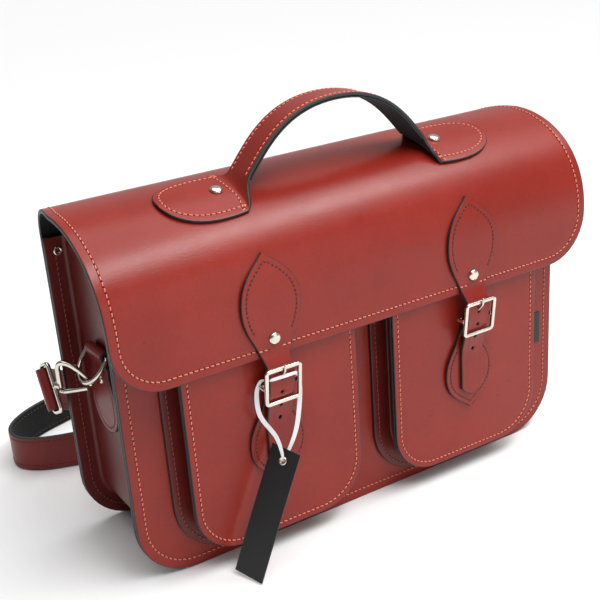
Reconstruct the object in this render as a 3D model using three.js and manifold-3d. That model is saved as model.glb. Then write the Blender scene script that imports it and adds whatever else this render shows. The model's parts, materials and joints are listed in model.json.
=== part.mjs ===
// Twin-pocket leather satchel, in millimetres.
// X runs to the bag's right as seen from the front, the front faces -Y, and +Z is up.
// The origin is on the ground under the middle of the box round the bag, without its free
// shoulder strap and swing tag. The sizes below are drawn from the middle of the bag's body.
import * as THREE from 'three';
import Module from 'manifold-3d';
import { mergeVertices } from 'three/addons/utils/BufferGeometryUtils.js';

const wasm = await Module();
wasm.setup();

// ---- driving dimensions ----
const bodyWidth = 400;
const bodyDepth = 106;
const bodyHeight = 243;
const panelTop = 238;
const panelCorner = 45;
const leather = 3;
const gap = 0.3;

const gussetFlange = 16;

const pocketInner = 17;
const pocketOuter = 162;
const pocketBottom = 17;
const pocketTop = 200;
const pocketDepth = 21;
const pocketCorner = 38;
const pocketLeather = 2.5;
const pocketFlange = 8;
const pocketRearSpread = 8;

const flapHalfWidth = 210.5;
const flapBottom = 161;
const flapCrown = 273.5;
const flapFront = -79;
const flapCorner = 38;

const closureX = 90;
const leafHalfWidth = 24;
const strapHalfWidth = 10.5;
const strapThickness = 2.5;
const leafTip = 236.5;
const leafNeck = 156;
const leafRivetZ = 175;
const patchTip = 60;
const patchNeck = 132;
const tailEnd = 82;

const buckleZ = 141;
const buckleBarY = -80.4;
const buckleHalfHeight = 15;
const buckleWire = 1.75;
const buckleBarRadius = 1.3;

const handleY = -28.5;
const handleHalfWidth = 13.5;
const handleTop = 324;
const handleLayer = 2.5;
const handleLining = 1;
const handleRivetX = 96.5;
const tabEndX = 143;
const tabCornerX = 84;
const tabHalfDepth = 23;

const sideTabY = 2;
const sideTabHalfWidth = 21;
const sideTabBottom = 102;
const ringBarZ = 166;
const ringAngle = 38;
const ringHalfWidth = 15.5;
const ringDepth = 24;
const ringWire = 1.5;

const shoulderStrapWidth = 32;
const shoulderStrapThickness = 3;

// ---- derived positions ----
const frontFace = -bodyDepth / 2;
const backFace = bodyDepth / 2;
const wallX = bodyWidth / 2 - gussetFlange;
const pocketFront = frontFace - pocketDepth;
const patchFront = pocketFront - gap - strapThickness;
const sideTabFace = wallX + gap;
const ringBarX = sideTabFace + strapThickness + gap + ringWire;

// ---- materials ----
const makeMaterial = (colour, roughness, metalness) => new THREE.MeshStandardMaterial({
  color: colour,
  roughness,
  metalness,
});
const redLeather = makeMaterial(0x96372f, 0.38, 0);
const darkLeather = makeMaterial(0x6b2422, 0.45, 0);
const nickel = makeMaterial(0xd9d6cf, 0.15, 1);
const blackCard = makeMaterial(0x17181a, 0.5, 0);
const whiteRibbon = makeMaterial(0xe9e7e6, 0.7, 0);

// ---- solids and booleans ----
const toSolid = (geometry) => {
  const bare = geometry.index ? geometry.toNonIndexed() : geometry.clone();
  bare.deleteAttribute('normal');
  bare.deleteAttribute('uv');
  const merged = mergeVertices(bare, 1e-4);
  return new wasm.Manifold(new wasm.Mesh({
    numProp: 3,
    vertProperties: new Float32Array(merged.attributes.position.array),
    triVerts: new Uint32Array(merged.index.array),
  }));
};

const toGeometry = (solid) => {
  const mesh = solid.getMesh();
  const geometry = new THREE.BufferGeometry();
  geometry.setAttribute('position', new THREE.BufferAttribute(mesh.vertProperties, 3));
  geometry.setIndex(new THREE.BufferAttribute(mesh.triVerts, 1));
  geometry.computeVertexNormals();
  return geometry;
};

const join = (...geometries) => toGeometry(
  geometries.map(toSolid).reduce((sum, solid) => sum.add(solid)),
);

const cut = (geometry, ...tools) => toGeometry(
  tools.map(toSolid).reduce((rest, tool) => rest.subtract(tool), toSolid(geometry)),
);

const overlap = (first, second) => toGeometry(toSolid(first).intersect(toSolid(second)));

// ---- plates, bands, rods and wires ----
const extrude = (shape, depth, curveSegments = 6) => new THREE.ExtrudeGeometry(shape, {
  depth,
  bevelEnabled: false,
  curveSegments,
});

// A shape drawn in (x, z), filling y from rear forward to rear - depth.
const frontPlate = (shape, rear, depth, curveSegments) => {
  const basis = new THREE.Matrix4().makeBasis(
    new THREE.Vector3(1, 0, 0),
    new THREE.Vector3(0, 0, 1),
    new THREE.Vector3(0, -1, 0),
  );
  return extrude(shape, depth, curveSegments).applyMatrix4(basis).translate(0, rear, 0);
};

// A shape drawn in (y, z), filling x from start to start + depth.
const sidePlate = (shape, start, depth, curveSegments) => {
  const basis = new THREE.Matrix4().makeBasis(
    new THREE.Vector3(0, 1, 0),
    new THREE.Vector3(0, 0, 1),
    new THREE.Vector3(1, 0, 0),
  );
  return extrude(shape, depth, curveSegments).applyMatrix4(basis).translate(start, 0, 0);
};

const block = (sizeX, sizeY, sizeZ, x, y, z) => (
  new THREE.BoxGeometry(sizeX, sizeY, sizeZ).translate(x, y, z)
);

const rodBetween = (start, end, radius, sides = 12) => {
  const direction = end.clone().sub(start);
  const rod = new THREE.CylinderGeometry(radius, radius, direction.length(), sides);
  const turn = new THREE.Quaternion().setFromUnitVectors(
    new THREE.Vector3(0, 1, 0),
    direction.clone().normalize(),
  );
  const middle = start.clone().add(end).multiplyScalar(0.5);
  return rod.applyQuaternion(turn).translate(middle.x, middle.y, middle.z);
};

const vector = (x, y, z) => new THREE.Vector3(x, y, z);

const mirrorX = (geometry) => {
  const flipped = geometry.index ? geometry.toNonIndexed() : geometry.clone();
  flipped.scale(-1, 1, 1);
  const places = flipped.attributes.position;
  const corner = vector(0, 0, 0);
  const other = vector(0, 0, 0);
  for (let i = 0; i < places.count; i += 3) {
    corner.fromBufferAttribute(places, i + 1);
    other.fromBufferAttribute(places, i + 2);
    places.setXYZ(i + 1, other.x, other.y, other.z);
    places.setXYZ(i + 2, corner.x, corner.y, corner.z);
  }
  return toGeometry(toSolid(flipped));
};

const onSide = (side, geometry) => (side < 0 ? geometry : mirrorX(geometry));

// A line of (y, z) points moved sideways, positive to the left of its direction.
const offsetLine = (points, offset) => points.map((point, i) => {
  const before = points[Math.max(i - 1, 0)];
  const after = points[Math.min(i + 1, points.length - 1)];
  const along = after.clone().sub(before).normalize();
  return point.clone().add(new THREE.Vector2(-along.y, along.x).multiplyScalar(offset));
});

// The band between two offsets of a line.
const bandShape = (points, nearOffset, farOffset) => {
  const farSide = offsetLine(points, farOffset).reverse();
  const outline = offsetLine(points, nearOffset).concat(farSide);
  return new THREE.Shape(THREE.ShapeUtils.area(outline) < 0 ? outline.reverse() : outline);
};

const domeRivet = (radius, height, shankRadius, shankLength) => new THREE.LatheGeometry([
  new THREE.Vector2(0, -shankLength),
  new THREE.Vector2(shankRadius, -shankLength),
  new THREE.Vector2(shankRadius, 0),
  new THREE.Vector2(radius, 0),
  new THREE.Vector2(radius * 0.93, height * 0.4),
  new THREE.Vector2(radius * 0.55, height * 0.85),
  new THREE.Vector2(0, height),
], 16);

// Turns a lathe's +Y axis to the given outward direction and moves it to a place.
const placeRivet = (geometry, place, outward) => {
  const turn = new THREE.Quaternion().setFromUnitVectors(vector(0, 1, 0), outward);
  return geometry.applyQuaternion(turn).translate(place.x, place.y, place.z);
};

// The front hardware stands out further than the back, so the box's middle is in front of the body's.
const footprintShift = 19.7;

const bag = new THREE.Group();
bag.position.y = footprintShift;

const addMesh = (name, geometry, material) => {
  const mesh = new THREE.Mesh(geometry, material);
  mesh.name = name;
  bag.add(mesh);
};

// ---- body panels and gussets ----
// A flat-topped panel with two rounded bottom corners.
const panelShape = (left, right, bottom, top, radius) => {
  const shape = new THREE.Shape();
  shape.moveTo(left, top);
  shape.lineTo(left, bottom + radius);
  shape.absarc(left + radius, bottom + radius, radius, Math.PI, 1.5 * Math.PI, false);
  shape.absarc(right - radius, bottom + radius, radius, 1.5 * Math.PI, 2 * Math.PI, false);
  shape.lineTo(right, top);
  return shape;
};

// The U-shaped strip that lies inside a panel's outline, from one inset to another.
const stripShape = (left, right, bottom, top, radius, outerInset, innerInset) => {
  const shape = panelShape(
    left + outerInset,
    right - outerInset,
    bottom + outerInset,
    top,
    radius - outerInset,
  );
  const arc = radius - innerInset;
  shape.lineTo(right - innerInset, top);
  shape.lineTo(right - innerInset, bottom + radius);
  shape.absarc(right - radius, bottom + radius, arc, 0, -0.5 * Math.PI, true);
  shape.absarc(left + radius, bottom + radius, arc, 1.5 * Math.PI, Math.PI, true);
  shape.lineTo(left + innerInset, top);
  return shape;
};

const mainOutline = [-bodyWidth / 2, bodyWidth / 2, 0];

const makeFrontPanel = () => {
  const shape = panelShape(...mainOutline, panelTop, panelCorner);
  return frontPlate(shape, frontFace + leather, leather);
};

const rearEyeletPlace = (side) => vector(side * (bodyWidth / 2 - 9.5), backFace, 232);
const eyeletRadius = 3.6;
const eyeletHole = 2.4;

const eyeletBore = (side) => rodBetween(
  rearEyeletPlace(side).setY(backFace - 12),
  rearEyeletPlace(side).setY(backFace + 5),
  eyeletHole + gap + 0.5,
);

const makeBackPanel = () => {
  const shape = panelShape(...mainOutline, panelTop, panelCorner);
  return cut(frontPlate(shape, backFace, leather), eyeletBore(-1), eyeletBore(1));
};

const makeMainGusset = () => {
  const outline = [...mainOutline, bodyHeight, panelCorner];
  const wallInner = gussetFlange + leather;
  const flangeFront = frontFace + leather + gap;
  const flangeBack = backFace - leather - gap;
  const flange = stripShape(...outline, 0, wallInner);
  const wall = stripShape(...outline, gussetFlange, wallInner);
  const whole = join(
    frontPlate(flange, flangeFront + leather, leather),
    frontPlate(flange, flangeBack, leather),
    frontPlate(wall, flangeBack - 0.5, flangeBack - flangeFront - 1),
  );
  return cut(whole, eyeletBore(-1), eyeletBore(1));
};

const makeRearEyelet = (side) => {
  const thickness = 2 * leather + gap;
  const back = backFace + gap;
  const front = backFace - thickness - gap;
  const place = rearEyeletPlace(side);
  const lip = 0.8;
  const profile = [
    new THREE.Vector2(eyeletHole - 0.8, front - lip),
    new THREE.Vector2(eyeletRadius, front - lip),
    new THREE.Vector2(eyeletRadius, front),
    new THREE.Vector2(eyeletHole, front),
    new THREE.Vector2(eyeletHole, back),
    new THREE.Vector2(eyeletRadius, back),
    new THREE.Vector2(eyeletRadius, back + lip),
    new THREE.Vector2(eyeletHole - 0.8, back + lip),
    new THREE.Vector2(eyeletHole - 0.8, front - lip),
  ];
  return new THREE.LatheGeometry(profile, 16).translate(place.x, 0, place.z);
};

// ---- front pockets ----
const pocketEdges = (side, spread) => (side < 0
  ? [-pocketOuter - spread, -pocketInner + spread, pocketBottom - spread]
  : [pocketInner - spread, pocketOuter + spread, pocketBottom - spread]);

const makePocketFront = (side) => {
  const shape = panelShape(...pocketEdges(side, 0), pocketTop, pocketCorner);
  return frontPlate(shape, pocketFront + pocketLeather, pocketLeather);
};

const makePocketGusset = (side) => {
  const frontOutline = [...pocketEdges(side, 0), pocketTop, pocketCorner];
  const rearOutline = [
    ...pocketEdges(side, pocketRearSpread),
    pocketTop,
    pocketCorner + pocketRearSpread,
  ];
  const wallInner = pocketFlange + pocketLeather;
  const flangeFront = pocketFront + pocketLeather + gap;
  const rear = frontFace - gap;
  return join(
    frontPlate(stripShape(...frontOutline, 0, wallInner), flangeFront + pocketLeather, pocketLeather),
    frontPlate(stripShape(...rearOutline, 0, wallInner + pocketRearSpread), rear, pocketLeather),
    frontPlate(
      stripShape(...frontOutline, pocketFlange, wallInner),
      rear - 0.5,
      rear - flangeFront - 1,
    ),
  );
};

// ---- flap ----
// The flap's outer face in (y, z), from the hinge line at the back over to the front edge.
const flapLine = () => {
  const path = new THREE.Path();
  path.moveTo(backFace, panelTop + gap);
  path.lineTo(backFace, bodyHeight);
  path.bezierCurveTo(backFace, 265, 30, flapCrown, 0, flapCrown);
  path.bezierCurveTo(-38, flapCrown, flapFront, 252, flapFront, 200);
  path.lineTo(flapFront, flapBottom);
  return path.getPoints(10);
};

const flapPoints = flapLine();

// The outward direction and the height of the flap's outer face above a given y.
const flapSurfaceAt = (y) => {
  const i = flapPoints.findIndex((point) => point.y > bodyHeight && point.x <= y);
  const before = flapPoints[i - 1];
  const after = flapPoints[i];
  const part = (y - before.x) / (after.x - before.x);
  const along = after.clone().sub(before).normalize();
  return {
    place: vector(0, y, before.y + (after.y - before.y) * part),
    outward: vector(0, along.y, -along.x),
  };
};

const handleSeat = flapSurfaceAt(handleY);

const handleRivetBore = (side) => rodBetween(
  handleSeat.place.clone().addScaledVector(handleSeat.outward, -8).setX(side * handleRivetX),
  handleSeat.place.clone().addScaledVector(handleSeat.outward, 9).setX(side * handleRivetX),
  2,
);

const leafRivetBore = (side) => rodBetween(
  vector(side * closureX, flapFront - 8, leafRivetZ),
  vector(side * closureX, flapFront + 8, leafRivetZ),
  2,
);

const makeFlap = () => {
  const band = sidePlate(
    bandShape(flapPoints, 0, leather),
    -flapHalfWidth,
    2 * flapHalfWidth,
  );
  const outline = panelShape(-flapHalfWidth, flapHalfWidth, flapBottom, 400, flapCorner);
  // Seen from above, its drawn y running forward, the flap narrows to the back panel's width.
  const plan = new THREE.Shape();
  plan.moveTo(-flapHalfWidth, 200);
  plan.lineTo(-flapHalfWidth, 0);
  plan.lineTo(-bodyWidth / 2, -backFace);
  plan.lineTo(bodyWidth / 2, -backFace);
  plan.lineTo(flapHalfWidth, 0);
  plan.lineTo(flapHalfWidth, 200);
  const tapered = extrude(plan, 400, 1).rotateX(Math.PI);
  tapered.translate(0, 0, 400);
  const trimmed = overlap(overlap(band, frontPlate(outline, 100, 220)), tapered);
  return cut(
    trimmed,
    handleRivetBore(-1),
    handleRivetBore(1),
    leafRivetBore(-1),
    leafRivetBore(1),
  );
};

// ---- closure straps and their patches ----
// Half of a pointed leaf: from its tip, out to the widest place and in to a neck.
const addLeafHalf = (shape, x, side, tip, neck, neckHalf) => {
  const length = neck - tip;
  const wide = side * leafHalfWidth;
  shape.bezierCurveTo(
    x + 0.45 * wide, tip + 0.12 * length,
    x + wide, tip + 0.2 * length,
    x + wide, tip + 0.45 * length,
  );
  shape.bezierCurveTo(
    x + wide, tip + 0.7 * length,
    x + side * neckHalf, tip + 0.82 * length,
    x + side * neckHalf, neck,
  );
};

const prongSlot = (x) => block(3, 30, 11, x, buckleBarY - 5, buckleZ + 7);

// The strap's outer route in (y, z): down the flap, over the buckle's bar and down to its tail.
const closureLine = () => {
  const faceY = flapFront - gap;
  const onFlap = offsetLine(flapPoints, -gap).filter((point) => point.y > 200 && point.x < -50);
  const overBar = buckleBarY - buckleBarRadius - 2.8 - gap;
  return onFlap.concat([
    new THREE.Vector2(faceY, 198),
    new THREE.Vector2(faceY, flapBottom + 3),
    new THREE.Vector2(overBar - 0.2, buckleZ + 14),
    new THREE.Vector2(overBar - 0.6, buckleZ + 7),
    new THREE.Vector2(overBar, buckleZ - 2),
    new THREE.Vector2(overBar + 3.6, buckleZ - 14),
    new THREE.Vector2(patchFront - gap, 113),
    new THREE.Vector2(patchFront - gap, tailEnd),
  ]);
};

const makeClosureStrap = (side) => {
  const x = side * closureX;
  const band = sidePlate(
    bandShape(closureLine(), 0, -strapThickness),
    x - leafHalfWidth - 2,
    2 * leafHalfWidth + 4,
  );
  const outline = new THREE.Shape();
  outline.moveTo(x, leafTip);
  addLeafHalf(outline, x, -1, leafTip, leafNeck, strapHalfWidth);
  outline.lineTo(x - strapHalfWidth, tailEnd + 8);
  outline.lineTo(x, tailEnd + 0.5);
  outline.lineTo(x + strapHalfWidth, tailEnd + 8);
  outline.lineTo(x + strapHalfWidth, flapBottom);
  const mirrored = new THREE.Shape();
  mirrored.moveTo(x, leafTip);
  addLeafHalf(mirrored, x, 1, leafTip, leafNeck, strapHalfWidth);
  mirrored.lineTo(x, flapBottom);
  const trimmer = join(
    frontPlate(outline, 0, 120),
    frontPlate(mirrored, 0, 120),
  );
  return cut(overlap(band, trimmer), leafRivetBore(side), prongSlot(x));
};

const makeLeafRivet = (side) => {
  const seat = vector(side * closureX, flapFront - gap - strapThickness - gap, leafRivetZ);
  return placeRivet(domeRivet(4.6, 2.2, 1.6, 8), seat, vector(0, -1, 0));
};

const makeLowerPatch = (side) => {
  const x = side * closureX;
  const outline = new THREE.Shape();
  outline.moveTo(x, patchTip);
  addLeafHalf(outline, x, 1, patchTip, patchNeck, strapHalfWidth - 1.5);
  outline.lineTo(x + strapHalfWidth - 1.5, buckleZ);
  outline.lineTo(x - strapHalfWidth + 1.5, buckleZ);
  outline.lineTo(x - strapHalfWidth + 1.5, patchNeck);
  outline.lineTo(x, patchNeck);
  const mirrored = new THREE.Shape();
  mirrored.moveTo(x, patchTip);
  addLeafHalf(mirrored, x, -1, patchTip, patchNeck, strapHalfWidth - 1.5);
  mirrored.lineTo(x, patchNeck);
  const eyeHalf = strapHalfWidth - 1.5;
  const eye = rodBetween(
    vector(x - eyeHalf, buckleBarY, buckleZ),
    vector(x + eyeHalf, buckleBarY, buckleZ),
    buckleBarRadius + 2.8,
    16,
  );
  const bore = rodBetween(
    vector(x - eyeHalf - 1, buckleBarY, buckleZ),
    vector(x + eyeHalf + 1, buckleBarY, buckleZ),
    buckleBarRadius + gap,
  );
  const whole = join(
    frontPlate(outline, pocketFront - gap, strapThickness),
    frontPlate(mirrored, pocketFront - gap, strapThickness),
    eye,
  );
  const slotForProng = block(5, 9, 11, x, buckleBarY - 1.2, buckleZ + 1.2);
  return cut(whole, bore, slotForProng);
};

const makeBuckleFrame = (side) => {
  const x = side * closureX;
  const railX = strapHalfWidth + 3.2;
  const topY = buckleBarY - 8.8;
  const bottomY = buckleBarY - 5.4;
  const top = buckleZ + buckleHalfHeight;
  const bottom = buckleZ - buckleHalfHeight;
  const rail = (end) => {
    const railPoints = [
      new THREE.Vector2(topY, top),
      new THREE.Vector2(buckleBarY - 2.2, buckleZ),
      new THREE.Vector2(bottomY, bottom),
    ];
    const shape = bandShape(railPoints, -buckleWire, buckleWire);
    return sidePlate(shape, x + end * railX - buckleWire, 2 * buckleWire);
  };
  const bar = (y, z, radius) => rodBetween(
    vector(x - railX, y, z),
    vector(x + railX, y, z),
    radius,
  );
  return join(
    rail(-1),
    rail(1),
    bar(topY, top, buckleWire),
    bar(bottomY, bottom, buckleWire),
    bar(buckleBarY, buckleZ, buckleBarRadius),
  );
};

const makeBuckleProng = (side) => {
  const x = side * closureX;
  const eye = rodBetween(
    vector(x - 1, buckleBarY, buckleZ),
    vector(x + 1, buckleBarY, buckleZ),
    buckleBarRadius + 1.8,
    16,
  );
  const bore = rodBetween(
    vector(x - 3, buckleBarY, buckleZ),
    vector(x + 3, buckleBarY, buckleZ),
    buckleBarRadius + gap,
  );
  const line = [
    new THREE.Vector2(buckleBarY - 2, buckleZ + 0.8),
    new THREE.Vector2(buckleBarY - 7, buckleZ + 7.5),
    new THREE.Vector2(buckleBarY - 12.2, buckleZ + 12.5),
    new THREE.Vector2(buckleBarY - 12.2, buckleZ + 17.5),
  ];
  const pin = sidePlate(bandShape(line, -0.9, 0.9), x - 1, 2);
  return cut(join(eye, pin), bore);
};

// ---- handle ----
// Half of the handle's top line in (x, z), from its tab up to the middle of the arch.
const handleArch = () => {
  const springZ = handleSeat.place.z + 4.6;
  const path = new THREE.Path();
  path.moveTo(-tabCornerX - 5, springZ);
  path.bezierCurveTo(-72, springZ, -62, handleTop, 0, handleTop);
  path.bezierCurveTo(62, handleTop, 72, springZ, tabCornerX + 5, springZ);
  return path.getPoints(12);
};

const archPlate = (points, nearOffset, farOffset) => frontPlate(
  bandShape(points, nearOffset, farOffset),
  handleY + handleHalfWidth,
  2 * handleHalfWidth,
);

// A tab in plan: a round outer end that swells to two corners, then necks in to the strap.
const tabPlan = (side) => {
  const shape = new THREE.Shape();
  const end = side * tabEndX;
  const corner = side * tabCornerX;
  const inner = side * (tabCornerX - 9);
  shape.moveTo(inner, handleY - handleHalfWidth);
  shape.lineTo(corner - side * 5, handleY - handleHalfWidth);
  shape.lineTo(corner, handleY - tabHalfDepth);
  shape.bezierCurveTo(
    corner + side * 24, handleY - tabHalfDepth - 3,
    end, handleY - 26,
    end, handleY,
  );
  shape.bezierCurveTo(
    end, handleY + 26,
    corner + side * 24, handleY + tabHalfDepth + 3,
    corner, handleY + tabHalfDepth,
  );
  shape.lineTo(corner - side * 5, handleY + handleHalfWidth);
  shape.lineTo(inner, handleY + handleHalfWidth);
  return shape;
};

const tabSolid = (side) => {
  const band = sidePlate(
    bandShape(flapPoints, -gap, -gap - handleLayer),
    side < 0 ? -tabEndX - 1 : tabCornerX - 12,
    tabEndX + 13 - tabCornerX,
  );
  return overlap(band, extrude(tabPlan(side), 60, 8).translate(0, 0, 240));
};

const makeHandleOuter = () => {
  const arch = archPlate(handleArch(), 0, -handleLayer);
  const underFlap = sidePlate(bandShape(flapPoints, 8, -gap), -120, 240);
  return cut(
    join(cut(arch, underFlap), tabSolid(-1), tabSolid(1)),
    handleRivetBore(-1),
    handleRivetBore(1),
  );
};

const makeHandleLining = () => {
  const far = -handleLayer - gap - handleLining;
  const arch = archPlate(handleArch(), -handleLayer - gap, far);
  const keep = block(2 * tabCornerX - 16, 100, 60, 0, handleY, handleSeat.place.z + 40.5);
  return overlap(arch, keep);
};

const makeHandleRivet = (side) => {
  const seat = handleSeat.place.clone().addScaledVector(
    handleSeat.outward,
    2 * gap + handleLayer,
  );
  return placeRivet(domeRivet(4.8, 2.4, 1.6, 8), seat.setX(side * handleRivetX), handleSeat.outward);
};

// ---- side tabs, rings and snap hooks ----
// Everything here is made for the left side, at negative x, and mirrored for the right.
const makeSideTab = () => {
  const outer = -sideTabFace - 2 * strapThickness;
  const loopRadius = ringWire + gap + strapThickness;
  const outline = new THREE.Shape();
  const neckHalf = ringHalfWidth - 1.5;
  outline.moveTo(sideTabY - neckHalf, ringBarZ + 1);
  outline.lineTo(sideTabY - neckHalf, ringBarZ - 12);
  outline.bezierCurveTo(
    sideTabY - neckHalf, ringBarZ - 20,
    sideTabY - sideTabHalfWidth, ringBarZ - 22,
    sideTabY - sideTabHalfWidth, sideTabBottom + sideTabHalfWidth,
  );
  outline.absarc(
    sideTabY,
    sideTabBottom + sideTabHalfWidth,
    sideTabHalfWidth,
    Math.PI,
    2 * Math.PI,
    false,
  );
  outline.bezierCurveTo(
    sideTabY + sideTabHalfWidth, ringBarZ - 22,
    sideTabY + neckHalf, ringBarZ - 20,
    sideTabY + neckHalf, ringBarZ - 12,
  );
  outline.lineTo(sideTabY + neckHalf, ringBarZ + 1);
  const start = vector(-ringBarX, sideTabY - neckHalf, ringBarZ);
  const end = vector(-ringBarX, sideTabY + neckHalf, ringBarZ);
  const plate = sidePlate(outline, outer, 2 * strapThickness);
  const loop = rodBetween(start, end, loopRadius, 16);
  const boreStart = start.clone().setY(start.y - 3);
  const boreEnd = end.clone().setY(end.y + 3);
  return cut(join(plate, loop), rodBetween(boreStart, boreEnd, ringWire + gap, 12));
};

const makeTabRivet = () => placeRivet(
  domeRivet(3.4, 1.6, 1.2, 2),
  vector(-sideTabFace - 2 * strapThickness - gap, sideTabY - 1, 145),
  vector(-1, 0, 0),
);

const tabRivetBore = () => rodBetween(
  vector(-sideTabFace - 8, sideTabY - 1, 145),
  vector(-sideTabFace - 2.5, sideTabY - 1, 145),
  1.5,
);

// The ring is drawn with its bar along the local x axis and its bow hanging to local -y.
const makeRing = () => {
  const outer = ringHalfWidth + 2 * ringWire;
  const shape = new THREE.Shape();
  const straight = ringDepth - outer + ringWire;
  shape.moveTo(-outer, ringWire);
  shape.lineTo(-outer, -straight);
  shape.absarc(0, -straight, outer, Math.PI, 2 * Math.PI, false);
  shape.lineTo(outer, ringWire);
  const hole = new THREE.Path();
  hole.moveTo(-ringHalfWidth, -ringWire);
  hole.lineTo(ringHalfWidth, -ringWire);
  hole.lineTo(ringHalfWidth, -straight);
  hole.absarc(0, -straight, ringHalfWidth, 0, -Math.PI, true);
  shape.holes.push(hole);
  const bevel = ringWire * 0.5;
  const plate = new THREE.ExtrudeGeometry(shape, {
    depth: 2 * (ringWire - bevel),
    bevelEnabled: true,
    bevelThickness: bevel,
    bevelSize: bevel,
    bevelOffset: -bevel,
    bevelSegments: 1,
    curveSegments: 12,
  });
  return plate.translate(0, 0, bevel - ringWire);
};

const ringPlacement = () => {
  const lean = THREE.MathUtils.degToRad(ringAngle);
  const along = vector(0, 1, 0);
  const up = vector(Math.sin(lean), 0, Math.cos(lean));
  const normal = along.clone().cross(up);
  const placement = new THREE.Matrix4().makeBasis(along, up, normal);
  return placement.setPosition(-ringBarX, sideTabY, ringBarZ);
};

// The hook's own frame: u points to the ring, v up, w across; its origin is the swivel.
const hookSwivel = vector(-217, 19, 141.5);
const hookTurn = 45;

const hookPlacement = () => {
  const turn = THREE.MathUtils.degToRad(hookTurn);
  const toRing = vector(Math.cos(turn), -Math.sin(turn), 0);
  const up = vector(0, 0, 1);
  const placement = new THREE.Matrix4().makeBasis(toRing, up, toRing.clone().cross(up));
  return placement.setPosition(hookSwivel);
};

const hookThickness = 4;
const hookWire = 1.75;

const tubeAlong = (points, radius, steps, sides = 8) => {
  const section = new THREE.Shape();
  section.absarc(0, 0, radius, 0, 2 * Math.PI, false);
  return new THREE.ExtrudeGeometry(section, {
    steps,
    curveSegments: sides / 2,
    bevelEnabled: false,
    extrudePath: new THREE.CatmullRomCurve3(points),
  });
};

const makeHookBody = () => {
  const outer = new THREE.Shape();
  outer.moveTo(1, -1);
  outer.lineTo(4.8, -1);
  outer.lineTo(5, 15);
  outer.bezierCurveTo(10, 17, 21, 13, 25.5, 3.4);
  outer.lineTo(25.5, -0.6);
  outer.lineTo(28.6, 0);
  outer.lineTo(29, 4.2);
  outer.bezierCurveTo(25, 17, 13, 22.5, 3, 20.5);
  outer.lineTo(0.8, 18.5);
  const plate = extrude(outer, hookThickness, 8).translate(0, 0, -hookThickness / 2);
  const boss = rodBetween(vector(-1.2, 1.2, 0), vector(3, 1.2, 0), 2.6);
  return join(plate, boss).applyMatrix4(hookPlacement());
};

const makeHookGate = () => {
  const shape = new THREE.Shape();
  shape.moveTo(1.6, -1.5);
  shape.lineTo(1.6, -4.6);
  shape.lineTo(6, -5.4);
  shape.lineTo(25.1, -1.4);
  shape.lineTo(25.1, 1.2);
  shape.lineTo(6, -1.9);
  const plate = extrude(shape, hookThickness - 0.6, 4);
  return plate.translate(0, 0, 0.3 - hookThickness / 2).applyMatrix4(hookPlacement());
};

// The loop that carries the strap: its stem leaves the hook backward and slightly down.
const loopDirection = vector(-0.15, 0.86, -0.42).normalize();
const loopHalfHeight = 18;
const loopDepth = 12;
const loopStart = 2.2;

const loopPlacement = () => {
  const across = vector(1, 0, 0).cross(loopDirection).normalize();
  const normal = loopDirection.clone().cross(across);
  const placement = new THREE.Matrix4().makeBasis(loopDirection, across, normal);
  return placement.setPosition(hookSwivel);
};

const makeStrapLoop = () => {
  const wire = 1.6;
  const near = loopStart + wire;
  const far = near + loopDepth;
  const rod = (u1, v1, u2, v2) => rodBetween(vector(u1, v1, 0), vector(u2, v2, 0), wire, 8);
  const corner = (u, v) => new THREE.SphereGeometry(wire, 8, 5).translate(u, v, 0);
  const loop = join(
    rod(near, -loopHalfHeight, near, loopHalfHeight),
    rod(far, -loopHalfHeight, far, loopHalfHeight),
    rod(near, -loopHalfHeight, far, -loopHalfHeight),
    rod(near, loopHalfHeight, far, loopHalfHeight),
    corner(near, -loopHalfHeight),
    corner(near, loopHalfHeight),
    corner(far, -loopHalfHeight),
    corner(far, loopHalfHeight),
  );
  return loop.applyMatrix4(loopPlacement());
};

// The strap's end is doubled round the loop's bar and riveted. Its own frame starts on that bar.
const endLength = 30;
const endTurn = 26;
const strapEndRivetSpread = 8;
const strapEndRivetReach = 17;

const strapEndPlacement = () => {
  const turn = THREE.MathUtils.degToRad(endTurn);
  const bar = vector(loopStart + 1.6 + loopDepth, 0, 0).applyMatrix4(loopPlacement());
  const rotation = new THREE.Matrix4().makeRotationY(-turn);
  return loopPlacement().setPosition(bar).multiply(rotation);
};

const makeStrapEnd = () => {
  const barRadius = 1.6 + gap;
  const outerRadius = barRadius + shoulderStrapThickness;
  const half = shoulderStrapWidth / 2;
  const roll = rodBetween(vector(0, -half, 0), vector(0, half, 0), outerRadius, 16);
  const body = block(endLength, shoulderStrapWidth, 2 * outerRadius - 1.6, endLength / 2, 0, 0);
  const bore = rodBetween(vector(0, -half - 1, 0), vector(0, half + 1, 0), barRadius, 12);
  const holes = [-strapEndRivetSpread, strapEndRivetSpread].map((v) => rodBetween(
    vector(strapEndRivetReach, v, -10),
    vector(strapEndRivetReach, v, 10),
    1.9,
    10,
  ));
  return cut(join(roll, body), bore, ...holes).applyMatrix4(strapEndPlacement());
};

const makeStrapEndRivet = (v) => {
  const outerFace = 1.6 + gap + shoulderStrapThickness - 0.8;
  const shank = rodBetween(vector(0, 0, -outerFace - 0.5), vector(0, 0, outerFace + 0.5), 1.5, 10);
  const head = rodBetween(vector(0, 0, outerFace + gap), vector(0, 0, outerFace + 1.6), 3.6, 12);
  const foot = rodBetween(vector(0, 0, -outerFace - gap), vector(0, 0, -outerFace - 1.6), 3.6, 12);
  const rivet = join(shank, head, foot).translate(strapEndRivetReach, v, 0);
  return rivet.applyMatrix4(strapEndPlacement());
};

// ---- shoulder strap, standing on its edge behind the bag ----
const strapFloorZ = shoulderStrapWidth / 2 + 0.6;
const shortStrapSteps = 16;
const adjusterX = 86;
const adjusterZ = strapFloorZ + 5;
const strapStart = vector(endLength + 1.2, 0, 0).applyMatrix4(strapEndPlacement());
const strapLead = vector(endLength + 16, 0, 0).applyMatrix4(strapEndPlacement());

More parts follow.
